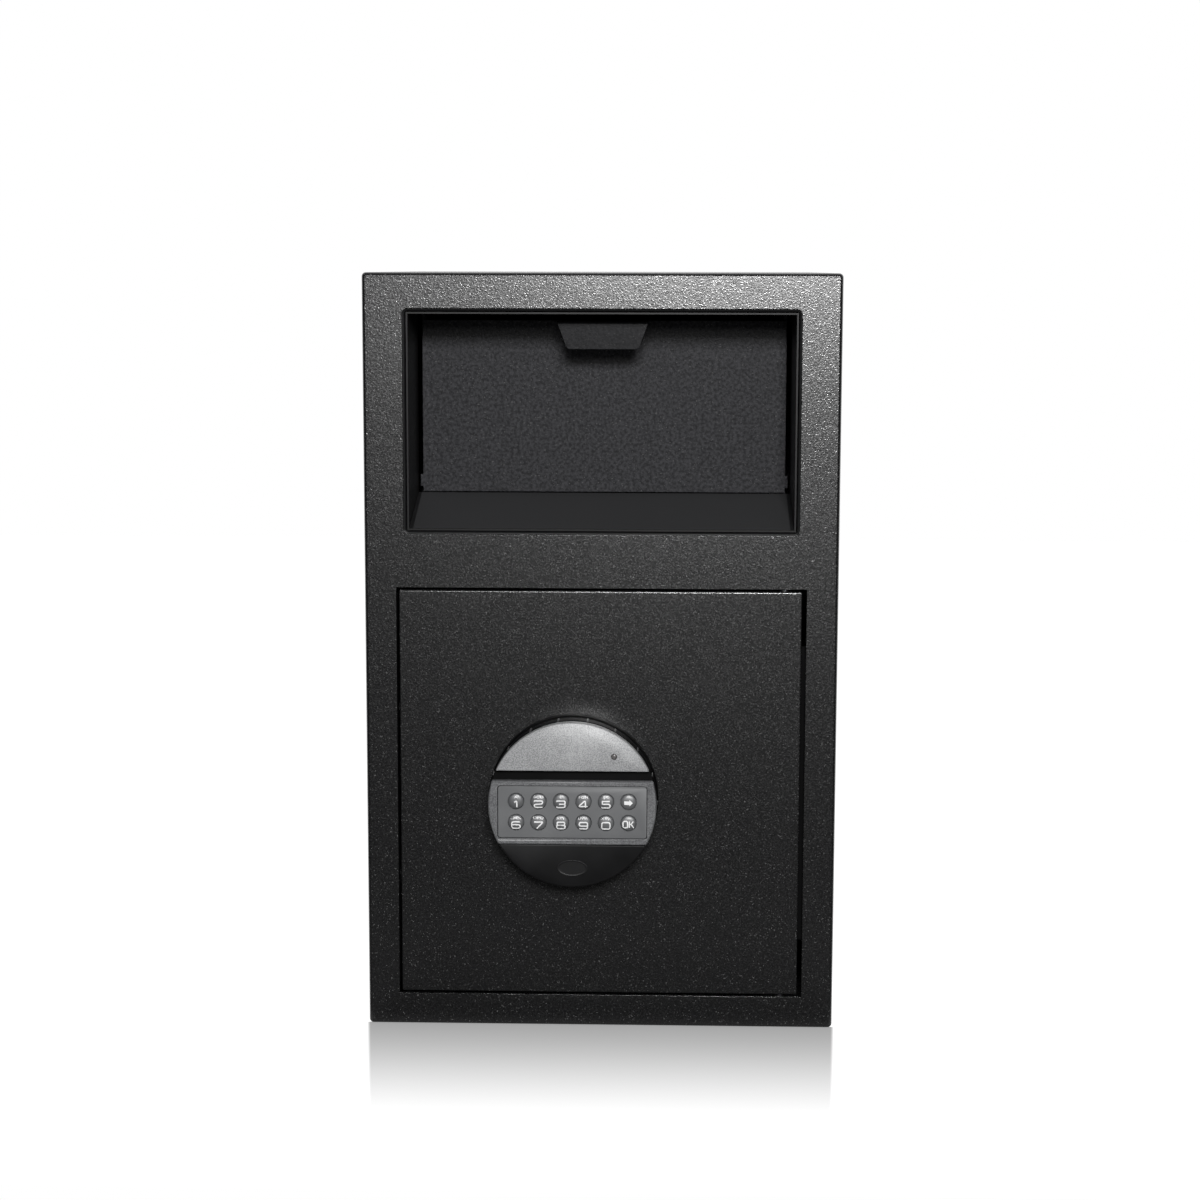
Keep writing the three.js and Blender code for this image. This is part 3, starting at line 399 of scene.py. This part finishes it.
def cut_away(piece, vertices, faces):
    tool = in_scene("tool", mesh_of("tool", vertices, faces, merge=False))
    cutter = piece.modifiers.new("cut", "BOOLEAN")
    cutter.operation = "DIFFERENCE"
    cutter.solver = "EXACT"
    cutter.object = tool
    apply_modifiers(piece)
    bpy.data.objects.remove(tool)


def lathe(profile, x, z, sides):
    """Rings round an axis along Y. A profile lists (radius, y), and a radius of 0 is a point."""
    vertices, rings, faces = [], [], []
    for radius, y in profile:
        if radius == 0:
            rings.append([len(vertices)] * sides)
            vertices.append((x, y, z))
            continue
        rings.append(list(range(len(vertices), len(vertices) + sides)))
        for k in range(sides):
            a = 2 * math.pi * k / sides
            vertices.append((x + radius * math.cos(a), y, z + radius * math.sin(a)))
    for low, high in zip(rings, rings[1:]):
        for k in range(sides):
            j = (k + 1) % sides
            corners = []
            for v in (low[k], low[j], high[j], high[k]):
                if v not in corners:
                    corners.append(v)
            if len(corners) > 2:
                faces.append(corners)
    return vertices, faces


def solid_faces(count):
    """Faces of a solid between two outlines that have the same number of points."""
    ends = [list(range(count)), list(range(2 * count - 1, count - 1, -1))]
    return ends + [[k, (k + 1) % count, count + (k + 1) % count, count + k] for k in range(count)]


def prism(outline, y_front, y_back):
    """An outline of (x, z) points that stands between two depths."""
    vertices = [(x, y_back, z) for x, z in outline] + [(x, y_front, z) for x, z in outline]
    return vertices, solid_faces(len(outline))


def arc(x, z, radius, start, end, steps):
    """Points of an arc from one angle to another, in degrees."""
    points = []
    for k in range(steps + 1):
        a = math.radians(start + (end - start) * k / steps)
        points.append((x + radius * math.cos(a), z + radius * math.sin(a)))
    return points


def rounded(x_low, x_high, z_low, z_high, radius, steps=8):
    """Outline of a rectangle with round corners."""
    return (
        arc(x_high - radius, z_low + radius, radius, -90, 0, steps)
        + arc(x_high - radius, z_high - radius, radius, 0, 90, steps)
        + arc(x_low + radius, z_high - radius, radius, 90, 180, steps)
        + arc(x_low + radius, z_low + radius, radius, 180, 270, steps)
    )


def mm_box(node):
    low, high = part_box(node)
    return [c / MM for c in low], [c / MM for c in high]


def middle_of(low, high):
    """Middle of a box as seen from the front: x and z."""
    return (low[0] + high[0]) / 2, (low[2] + high[2]) / 2


# Lock knob

kept_inside = 0.02  # keeps the finer circle inside the CAD's box
seam = 0.3  # gap between the knob's inserts and round them
knob_sides = 144
insert_steps = 64
bore_radius = 7
hub_radius, hub_length = 5.3, 10
rib_count, rib_half_width, rib_root, rib_height = 18, 0.65, -1.0, 0.45
lower_height, lower_lean = 5.8, 0.03
oval_z, oval_half_width, oval_half_height, oval_steps = -46, 11.1, 5.9, 64
# The bare oval has a raised rim. Each ring is (scale, height over the lower segment).
oval_rings = (
    (1.0, -0.3), (1.0, 0.15), (0.985, 0.28), (0.95, 0.35),
    (0.90, 0.30), (0.87, 0.12), (0.85, 0.08), (0.80, 0.08),
)
led_hole_radius, led_radius, led_height, led_sides = 2.2, 1.9, 0.55, 32

base_low, base_high = mm_box("knob_base")
knob_x, knob_z = middle_of(base_low, base_high)
base_radius = (base_high[0] - base_low[0]) / 2
base_seat, base_face = base_high[1], base_low[1]
body_low, body_high = mm_box("knob_body")
knob_radius = (body_high[2] - body_low[2]) / 2 - kept_inside
knob_rear = body_high[1]
cover_low, cover_high = mm_box("battery_cover")
drum_face = cover_high[1] + seam
block_low, block_high = mm_box("keypad_block")
pad_low, pad_high = mm_box("keypad_panel")


def edge_arc(radius, face, size, steps=5):
    """Points of a rounded front edge, from the side to the face."""
    return [
        (radius - size + size * math.cos(a), face + size - size * math.sin(a))
        for a in (math.pi / 2 * k / steps for k in range(steps + 1))
    ]


def make_base_ring():
    profile = [(bore_radius, base_seat), (base_radius, base_seat)]
    profile += edge_arc(base_radius, base_face, 1.5)
    profile += [(bore_radius, base_face), (bore_radius, base_seat)]
    make_piece("lock_base_ring", *lathe(profile, knob_x, knob_z, knob_sides), "door", "dark_plastic",
               material=drum_plastic, replaces=["knob_base"])


def make_drum():
    """The knob's dark body, with a groove at the rear and ribs round its edge."""
    hub_end, groove_radius, groove_face = knob_rear - hub_length, knob_radius - 2.5, knob_rear - 1.6
    profile = [(0, hub_end), (hub_radius, hub_end), (hub_radius, knob_rear), (groove_radius, knob_rear)]
    profile += [(groove_radius, groove_face), (knob_radius, groove_face)]
    profile += edge_arc(knob_radius, drum_face, 0.8)
    profile += [(0, drum_face)]
    make_piece("knob_drum", *lathe(profile, knob_x, knob_z, knob_sides), "knob", "dark_plastic",
               material=drum_plastic, replaces=["knob_body"])
    section = ((-rib_half_width, rib_root), (rib_half_width, rib_root),
               (rib_half_width, rib_height), (-rib_half_width, rib_height))
    for i in range(rib_count):
        turn = math.radians((i + 0.5) * 360 / rib_count)
        c, s = math.cos(turn), math.sin(turn)
        rib = []
        for y in (drum_face + 0.4, knob_rear - 1.8):
            for along, out in section:
                r = knob_radius + out
                rib.append((knob_x + r * s + along * c, y, knob_z + r * c - along * s))
        make_piece(f"knob_rib_{i + 1}", rib, solid_faces(len(section)), "knob", "dark_plastic",
                   material=lit_rib_plastic, bevel=0.25)


def chord_angle(radius, chord):
    return math.degrees(math.asin(chord / radius))


insert_radius = knob_radius - seam
lower_chord = block_low[2] - knob_z - seam


def lower_face(z):
    """Depth of the lower segment's face, which leans, at a height from the knob's middle."""
    return drum_face - lower_height + lower_lean * (lower_chord - z)


def make_lower_segment():
    a = chord_angle(insert_radius, lower_chord)
    outline = arc(0, 0, insert_radius, 180 - a, 360 + a, insert_steps)
    vertices = [(knob_x + x, drum_face, knob_z + z) for x, z in outline]
    vertices += [(knob_x + x, lower_face(z), knob_z + z) for x, z in outline]
    make_piece("knob_lower_segment", vertices, solid_faces(len(outline)), "knob", "dark_plastic", bevel=0.9)


def make_blank_oval():
    count = oval_steps
    ellipse = [(oval_half_width * math.cos(t), oval_z + oval_half_height * math.sin(t)) for t in
               (2 * math.pi * k / count for k in range(count))]
    vertices, faces = [], []
    for scale, lift in oval_rings:
        ring = [(x * scale, oval_z + (z - oval_z) * scale) for x, z in ellipse]
        vertices += [(knob_x + x, lower_face(z) - lift, knob_z + z) for x, z in ring]
    for first in range(0, (len(oval_rings) - 1) * count, count):
        for k in range(count):
            j = (k + 1) % count
            faces.append([first + k, first + j, first + count + j, first + count + k])
    faces.append(list(range(count * (len(oval_rings) - 1), count * len(oval_rings))))
    make_piece("knob_blank_oval", vertices, faces, "knob", "dark_plastic", sharp=60)


def make_battery_cover():
    """The knob's grey upper segment, with the status light in a hole."""
    a = chord_angle(insert_radius, cover_low[2] - knob_z)
    front, rear = cover_low[1], cover_high[1]
    outline = [(knob_x + x, knob_z + z) for x, z in arc(0, 0, insert_radius, a, 180 - a, insert_steps)]
    cover = make_piece("knob_upper_segment", *prism(outline, front, rear), "knob", "grey_plastic",
                       material=lit_cover_plastic, bevel=0.8, replaces=["battery_cover"])
    led_low, led_high = mm_box("status_led")
    x, z = middle_of(led_low, led_high)
    hole = [(0, front - 1), (led_hole_radius, front - 1), (led_hole_radius, rear + 1), (0, rear + 1)]
    cut_away(cover, *lathe(hole, x, z, led_sides))
    led = [(0, led_high[1]), (led_radius, led_high[1])]
    led += [(led_radius * math.cos(t), front + 0.25 - led_height * math.sin(t)) for t in
            (math.pi / 2 * k / 6 for k in range(6))]
    led += [(0, front - 0.3)]
    make_piece("knob_led", *lathe(led, x, z, led_sides), "knob", "led_lens", replaces=["status_led"])


def make_keypad():
    low, high = block_low[2] - knob_z, block_high[2] - knob_z
    a, b = chord_angle(insert_radius, low), chord_angle(insert_radius, high)
    outline = arc(0, 0, insert_radius, a, b, 24) + arc(0, 0, insert_radius, 180 - b, 180 - a, 24)
    outline = [(knob_x + x, knob_z + z) for x, z in outline]
    block = make_piece("keypad_frame", *prism(outline, block_low[1], block_high[1]), "knob", "grey_plastic",
                       bevel=1.2, replaces=["keypad_block"])
    recess = rounded(pad_low[0] - pad_gap, pad_high[0] + pad_gap, pad_low[2] - pad_gap, pad_high[2] + pad_gap,
                     pad_corner + pad_gap)
    cut_away(block, *prism(recess, block_low[1] - 2, pad_high[1] + 3))
    block.data.set_sharp_from_angle(angle=math.radians(sharp_angle))
    front, rear = pad_low[1], pad_high[1]
    face = rounded(pad_low[0], pad_high[0], pad_low[2], pad_high[2], pad_corner)
    panel = make_piece("keypad_face", *prism(face, front, rear), "knob", "pad_plastic", bevel=0.25,
                       replaces=["keypad_panel"])
    for label in key_labels:
        key_low, key_high = mm_box(f"key_{label}")
        x, z = middle_of(key_low, key_high)
        hole = [(0, front - 1), (key_hole_radius, front - 1), (key_hole_radius, rear + 1), (0, rear + 1)]
        cut_away(panel, *lathe(hole, x, z, key_hole_sides))
        make_key(label, x, z, key_low[1], key_high[1])
    panel.data.set_sharp_from_angle(angle=math.radians(sharp_angle))


# Digits with the letters that such keypads carry above them
key_labels = {
    "1": "A", "2": "BCD", "3": "E", "4": "FGH", "5": "IJK", "arrow": "",
    "6": "LMN", "7": "OPQ", "8": "RST", "9": "UVW", "0": "XYZ", "ok": "",
}
# Strokes of a plain wide digit in a box of 1 by 1. A stroke that ends where it starts is a loop.
box_loop = [(0.5, 0), (1, 0), (1, 1), (0, 1), (0, 0), (0.5, 0)]
strokes = {
    "1": [[(0.30, 0.74), (0.62, 1), (0.62, 0)]],
    "2": [[(0, 0.84), (0, 1), (1, 1), (1, 0.54), (0, 0.46), (0, 0), (1, 0)]],
    "3": [
        [(0, 0.84), (0, 1), (1, 1), (1, 0.52), (0.28, 0.52)],
        [(0.72, 0.52), (1, 0.52), (1, 0), (0, 0), (0, 0.16)],
    ],
    "4": [[(0.74, 0), (0.74, 1), (0.62, 1), (0, 0.3), (0, 0.2), (1, 0.2)]],
    "5": [
        [(0.97, 1), (0.01, 1)],
        [(0.07, 1), (0.07, 0.57)],
        [(0.01, 0.57), (1, 0.57), (1, 0), (0, 0), (0, 0.14)],
    ],
    "6": [[(0.94, 0.88), (0.94, 1), (0, 1), (0, 0), (1, 0), (1, 0.56), (0, 0.56)]],
    "7": [[(0, 1), (1, 1), (1, 0.88), (0.28, 0)]],
    "8": [
        [(0.5, 0.53), (0.95, 0.53), (0.95, 1), (0.05, 1), (0.05, 0.53), (0.5, 0.53)],
        [(0.5, 0), (1, 0), (1, 0.53), (0, 0.53), (0, 0), (0.5, 0)],
    ],
    "9": [[(0.06, 0.12), (0.06, 0), (1, 0), (1, 1), (0, 1), (0, 0.44), (1, 0.44)]],
    "0": [box_loop],
    "o": [box_loop],
    "k": [[(0, 0), (0, 1)], [(0.9, 1), (0.3, 0.5), (0, 0.5)], [(0.34, 0.52), (1, 0)]],
}
pad_corner, pad_gap = 1.9, 0.5
key_radius, key_hole_radius, key_hole_sides = 5.65, 5.95, 40
skirt_radius, skirt_height = 6.55, 1
key_sides, dome_steps = 48, 14
dome_height = 1.73
dome_power = 2.4
legend_lift = 0.07
legend_depth = 0.14
pen_width, pen_corner, pen_step = 0.96, 1.4, 0.35
letter_size, letter_stretch, letter_room = 2.5, 1.5, 7.6
arrow_half_length, arrow_neck, shaft_half = 3.1, 0.7, 1.3


def dome_drop(radius):
    """How far a dome stands over its rim at a distance from its middle: fuller than an ellipse."""
    return dome_height * max(0.0, 1 - (radius / key_radius) ** dome_power) ** (1 / dome_power)


def thickened(vertices, faces, depth):
    """A closed solid from a sheet that faces the front."""
    count = len(vertices)
    edges = {(a, b) for face in faces for a, b in zip(face, face[1:] + face[:1])}
    solid = faces + [[k + count for k in reversed(face)] for face in faces]
    solid += [[b, a, a + count, b + count] for a, b in sorted(edges) if (b, a) not in edges]
    return vertices + [(x, y + depth, z) for x, y, z in vertices], solid


def make_key(label, x, z, front, rear):
    top = front + legend_lift
    rim = top + dome_height
    skirt_face = rear - skirt_height
    profile = [(0, rear), (skirt_radius, rear), (skirt_radius, skirt_face), (key_radius, skirt_face)]
    profile += [(key_radius * math.cos(t), rim - dome_drop(key_radius * math.cos(t))) for t in
                (math.pi / 2 * k / dome_steps for k in range(dome_steps))]
    profile += [(0, top)]
    make_piece(f"button_{label}", *lathe(profile, x, z, key_sides), f"key_{label}", "key_plastic",
               replaces=[f"key_{label}"])
    if label == "arrow":
        parts = [(arrow_mesh(), 0.0, -0.4)]
    elif label == "ok":
        parts = [(stroke_mesh("o", 3.3, 4.7), -2.2, -0.6), (stroke_mesh("k", 3.1, 4.7), 2.3, -0.6)]
    else:
        letters = text_mesh(key_labels[label], letter_size)
        parts = [(stroke_mesh(label, 5.9, 4.8), 0.0, -1.7), (letters, 0.0, 3.45)]
    vertices, faces = [], []
    for (points, polygons), shift_x, shift_z in parts:
        first = len(vertices)
        for u, v in points:
            u, v = u + shift_x, v + shift_z
            vertices.append((x + u, rim - dome_drop(math.hypot(u, v)) - legend_lift, z + v))
        faces += [[first + k for k in polygon] for polygon in polygons]
    make_piece(f"legend_{label}", *thickened(vertices, faces, legend_depth), f"key_{label}", "key_plastic",
               material=legend_ink)


def text_mesh(words, size):
    """Small letters as a flat mesh round their middle, stretched as far as the key has room."""
    curve = bpy.data.curves.new("words", "FONT")
    curve.body = words
    curve.size = size
    curve.align_x = "CENTER"
    curve.resolution_u = 4
    curve.offset = 0.02
    holder = in_scene("words", curve)
    bpy.context.view_layer.update()
    flat = bpy.data.meshes.new_from_object(holder.evaluated_get(bpy.context.evaluated_depsgraph_get()))
    points = [(v.co.x, v.co.y) for v in flat.vertices]
    polygons = [list(p.vertices) for p in flat.polygons]
    middle = (min(p[1] for p in points) + max(p[1] for p in points)) / 2
    centre = (min(p[0] for p in points) + max(p[0] for p in points)) / 2
    bpy.data.objects.remove(holder)
    width = max(p[0] for p in points) - min(p[0] for p in points)
    stretch = min(letter_stretch, letter_room / width)
    return [((u - centre) * stretch, v - middle) for u, v in points], polygons


def arrow_mesh(columns=24, rows=8):
    """A bold arrow as a grid, fine enough to follow the dome."""
    points, polygons = [], []
    for i in range(columns + 1):
        u = -arrow_half_length + 2 * arrow_half_length * i / columns
        half = shaft_half if u < arrow_neck else arrow_half_length - u
        points += [(u, half * (2 * j / rows - 1)) for j in range(rows + 1)]
    for i in range(columns):
        for j in range(rows):
            a = i * (rows + 1) + j
            polygons.append([a, a + rows + 1, a + rows + 2, a + 1])
    return points, polygons


def softened(points, radius, steps=4):
    """The same line with each inner corner turned into a curve."""
    path = [points[0]]
    for before, corner, after in zip(points, points[1:], points[2:]):
        a, b, c = Vector(before), Vector(corner), Vector(after)
        reach = min(radius, (a - b).length / 2, (c - b).length / 2)
        start, end = b + (a - b).normalized() * reach, b + (c - b).normalized() * reach
        for k in range(steps + 1):
            t = k / steps
            path.append(tuple((1 - t) ** 2 * start + 2 * t * (1 - t) * b + t * t * end))
    path.append(points[-1])
    return path


def resampled(path, step):
    """Points along a line that are no more than a step apart."""
    spread = [Vector(path[0])]
    for a, b in zip(path, path[1:]):
        a, b = Vector(a), Vector(b)
        count = max(1, math.ceil((b - a).length / step))
        spread += [a.lerp(b, (k + 1) / count) for k in range(count) if (b - a).length > 1e-4]
    return spread


def stroke_mesh(sign, width, height):
    """The strokes of a sign with the width of a pen, as a flat mesh round their middle."""
    points, polygons = [], []
    for stroke in strokes[sign]:
        corners = [((u - 0.5) * width, (v - 0.5) * height) for u, v in stroke]
        path = resampled(softened(corners, pen_corner), pen_step)
        loop = (path[0] - path[-1]).length < 1e-4
        if loop:
            path.pop()
        first, count = len(points), len(path)
        for k, here in enumerate(path):
            ahead = path[(k + 1) % count] if loop or k + 1 < count else here
            behind = path[k - 1] if loop or k else here
            along = (ahead - behind).normalized()
            side = Vector((-along.y, along.x)) * pen_width / 2
            points += [tuple(here + side), tuple(here), tuple(here - side)]
        for k in range(count if loop else count - 1):
            a, b = first + 3 * k, first + 3 * ((k + 1) % count)
            polygons += [[a, b, b + 1, a + 1], [a + 1, b + 1, b + 2, a + 2]]
    return points, polygons


def make_back_seam():
    """Filled weld seam between the case and its back panel."""
    low, high = mm_box("back_panel")
    lap, gap, front, rear = 0.15, 0.35, low[1] + 0.4, high[1] - 0.2
    vertices, faces = [], []
    for inset, y in ((-lap, front), (gap, front), (gap, rear), (-lap, rear)):
        x_low, x_high, z_low, z_high = low[0] - inset, high[0] + inset, low[2] - inset, high[2] + inset
        vertices += [(x_low, y, z_low), (x_high, y, z_low), (x_high, y, z_high), (x_low, y, z_high)]
    for ring in range(4):
        for k in range(4):
            a, b = 4 * ring, 4 * ((ring + 1) % 4)
            faces.append([a + k, a + (k + 1) % 4, b + (k + 1) % 4, b + k])
    make_piece("back_seam", vertices, faces, "safe_case", "textured_paint")


make_back_seam()
make_base_ring()
make_drum()
make_lower_segment()
make_blank_oval()
make_battery_cover()
make_keypad()

# Camera: its place and its three axes, fitted to the photograph's corners

camera_place = (0.04864, -1.89468, 0.55251)
right = Vector((0.99956804, 0.02928845, 0.0024341))
up = Vector((-0.00643503, 0.13729809, 0.99050887))
back = Vector((0.02867628, -0.99009667, 0.13742726))
camera_data = bpy.data.cameras.new("camera")
camera_data.sensor_width = 36.0
camera_data.lens = 72.0
camera = in_scene("camera", camera_data)
camera.matrix_world = Matrix.Translation(camera_place) @ Matrix((right, up, back)).transposed().to_4x4()
bpy.context.scene.camera = camera

# Floor, backdrop and lights


def background_ray(n):
    """1 for rays that see the backdrop (camera, glossy and transmission ones), and 1 for camera rays."""
    path = n.add("ShaderNodeLightPath")
    seen = maths(n, "MAXIMUM", path.outputs["Is Camera Ray"], path.outputs["Is Glossy Ray"])
    return maths(n, "MAXIMUM", seen, path.outputs["Is Transmission Ray"]), path.outputs["Is Camera Ray"]


# Where the painted reflection on the table is drawn for: a place in front of the safe, and the plane of its
# front
eye_x, eye_distance = 0.0486, 1.705
front_plane = -0.19
sheen_start, sheen_end, sheen_strength = -0.477, -0.139, 0.72
sheen_half_width, sheen_blur = 0.1690, 0.0035
table_half_width, table_front, table_rear = 2, -0.51, 3
under_safe = 0.0004  # keeps the table's face just below the safe's
# Glossy rays see a darker table in front of the safe than behind it
rear_start, rear_end = -0.22, -0.16
mirrored_tone = 0.3
glow_strength = 0.95
# How bright the backdrop is for the safe's reflections of the front, and for diffuse light
studio_reflection, studio_fill = 0.04, 0.15


def make_floor():
    """A pale table top, with a painted reflection: a darker tone where the front of the safe would mirror in
    it.

    The studio in front of the safe is dark, so the table in front of it glows for the camera alone.
    """
    mesh = bpy.data.meshes.new("floor")
    mesh.from_pydata([
        (-table_half_width, table_front, 0), (table_half_width, table_front, 0),
        (table_half_width, table_rear, 0), (-table_half_width, table_rear, 0),
    ], [], [[0, 1, 2, 3]])
    floor = in_scene("floor", mesh)
    floor.location.z = -under_safe
    material = bpy.data.materials.new("floor")
    material.use_nodes = True
    n = Nodes(material.node_tree)
    place = n.add("ShaderNodeTexCoord").outputs["Object"]
    part = n.add("ShaderNodeSeparateXYZ", Vector=place).outputs
    before = maths(n, "LESS_THAN", part["Y"], front_plane + 0.004)
    near = maths(n, "MULTIPLY", ramp(n, part["Y"], sheen_start, sheen_end), before)
    spread = maths(n, "DIVIDE", eye_distance, maths(n, "ADD", part["Y"], eye_distance - front_plane))
    mirrored = maths(n, "ADD", maths(n, "MULTIPLY", maths(n, "SUBTRACT", part["X"], eye_x), spread), eye_x)
    within = ramp(n, maths(n, "ABSOLUTE", mirrored), sheen_half_width + sheen_blur, sheen_half_width)
    # painted reflection: the table's colour and glow are lowered where the safe's front would mirror
    lit = maths(n, "SUBTRACT", 1.0, maths(n, "MULTIPLY", maths(n, "MULTIPLY", near, within), sheen_strength))
    cloud = mixed(n, noise(n, place, 3.0, 2.0, 0.5), 0.44, 0.46)
    seen, camera_ray = background_ray(n)
    rear = ramp(n, part["Y"], rear_start, rear_end)
    studio = maths(n, "MAXIMUM", maths(n, "SUBTRACT", 1.0, seen), maths(n, "MAXIMUM", camera_ray, rear))
    tone = maths(n, "MULTIPLY", maths(n, "MULTIPLY", cloud, lit), mixed(n, studio, mirrored_tone, 1.0))
    diffuse = n.add("ShaderNodeBsdfDiffuse", Color=tone)
    seen = maths(n, "MAXIMUM", camera_ray, maths(n, "MULTIPLY", seen, rear))
    lit_glow = maths(n, "MULTIPLY", maths(n, "MULTIPLY", seen, lit), glow_strength)
    glow = n.add("ShaderNodeEmission", Strength=lit_glow)
    added = n.add("ShaderNodeAddShader")
    n.put(added, 0, diffuse.outputs[0])
    n.put(added, 1, glow.outputs[0])
    out = n.add("ShaderNodeOutputMaterial")
    n.put(out, "Surface", added.outputs[0])
    mesh.materials.append(material)


def make_world():
    """White behind the safe and dark in front of it, with a weak even light for diffuse rays."""
    world = bpy.data.worlds.new("studio")
    world.use_nodes = True
    n = Nodes(world.node_tree)
    seen, camera_ray = background_ray(n)
    direction = n.add("ShaderNodeSeparateXYZ", Vector=n.add("ShaderNodeTexCoord").outputs["Generated"])
    behind = ramp(n, direction.outputs["Y"], -0.15, 0.3)
    glossy = mixed(n, behind, studio_reflection, 1.0)
    strength = mixed(n, seen, studio_fill, mixed(n, camera_ray, glossy, 1.0))
    light = n.add("ShaderNodeBackground", Color=(1, 1, 1, 1), Strength=strength)
    out = n.add("ShaderNodeOutputWorld")
    n.put(out, "Surface", light.outputs[0])
    bpy.context.scene.world = world


def make_softbox(name, place, power):
    """A lamp in front of the safe, aimed at the upper part of its front."""
    data = bpy.data.lights.new(name, "AREA")
    data.shape = "RECTANGLE"
    data.size, data.size_y = 0.7, 0.35
    data.energy = power
    lamp = in_scene(name, data)
    lamp.location = place
    lamp.rotation_mode = "QUATERNION"
    lamp.rotation_quaternion = (Vector((0, -0.19, 0.40)) - Vector(place)).to_track_quat("-Z", "Y")
    lamp.visible_camera = False
    return lamp


make_floor()
make_world()
# Glossy rays alone see the first lamp, for the paint's highlight. Diffuse rays alone see the second.
make_softbox("sheen_lamp", (0.22, -2.60, 1.09), 90).visible_diffuse = False
make_softbox("key_lamp", (0.18, -2.50, 1.34), 60).visible_glossy = False
bpy.context.scene.view_settings.view_transform = "Standard"
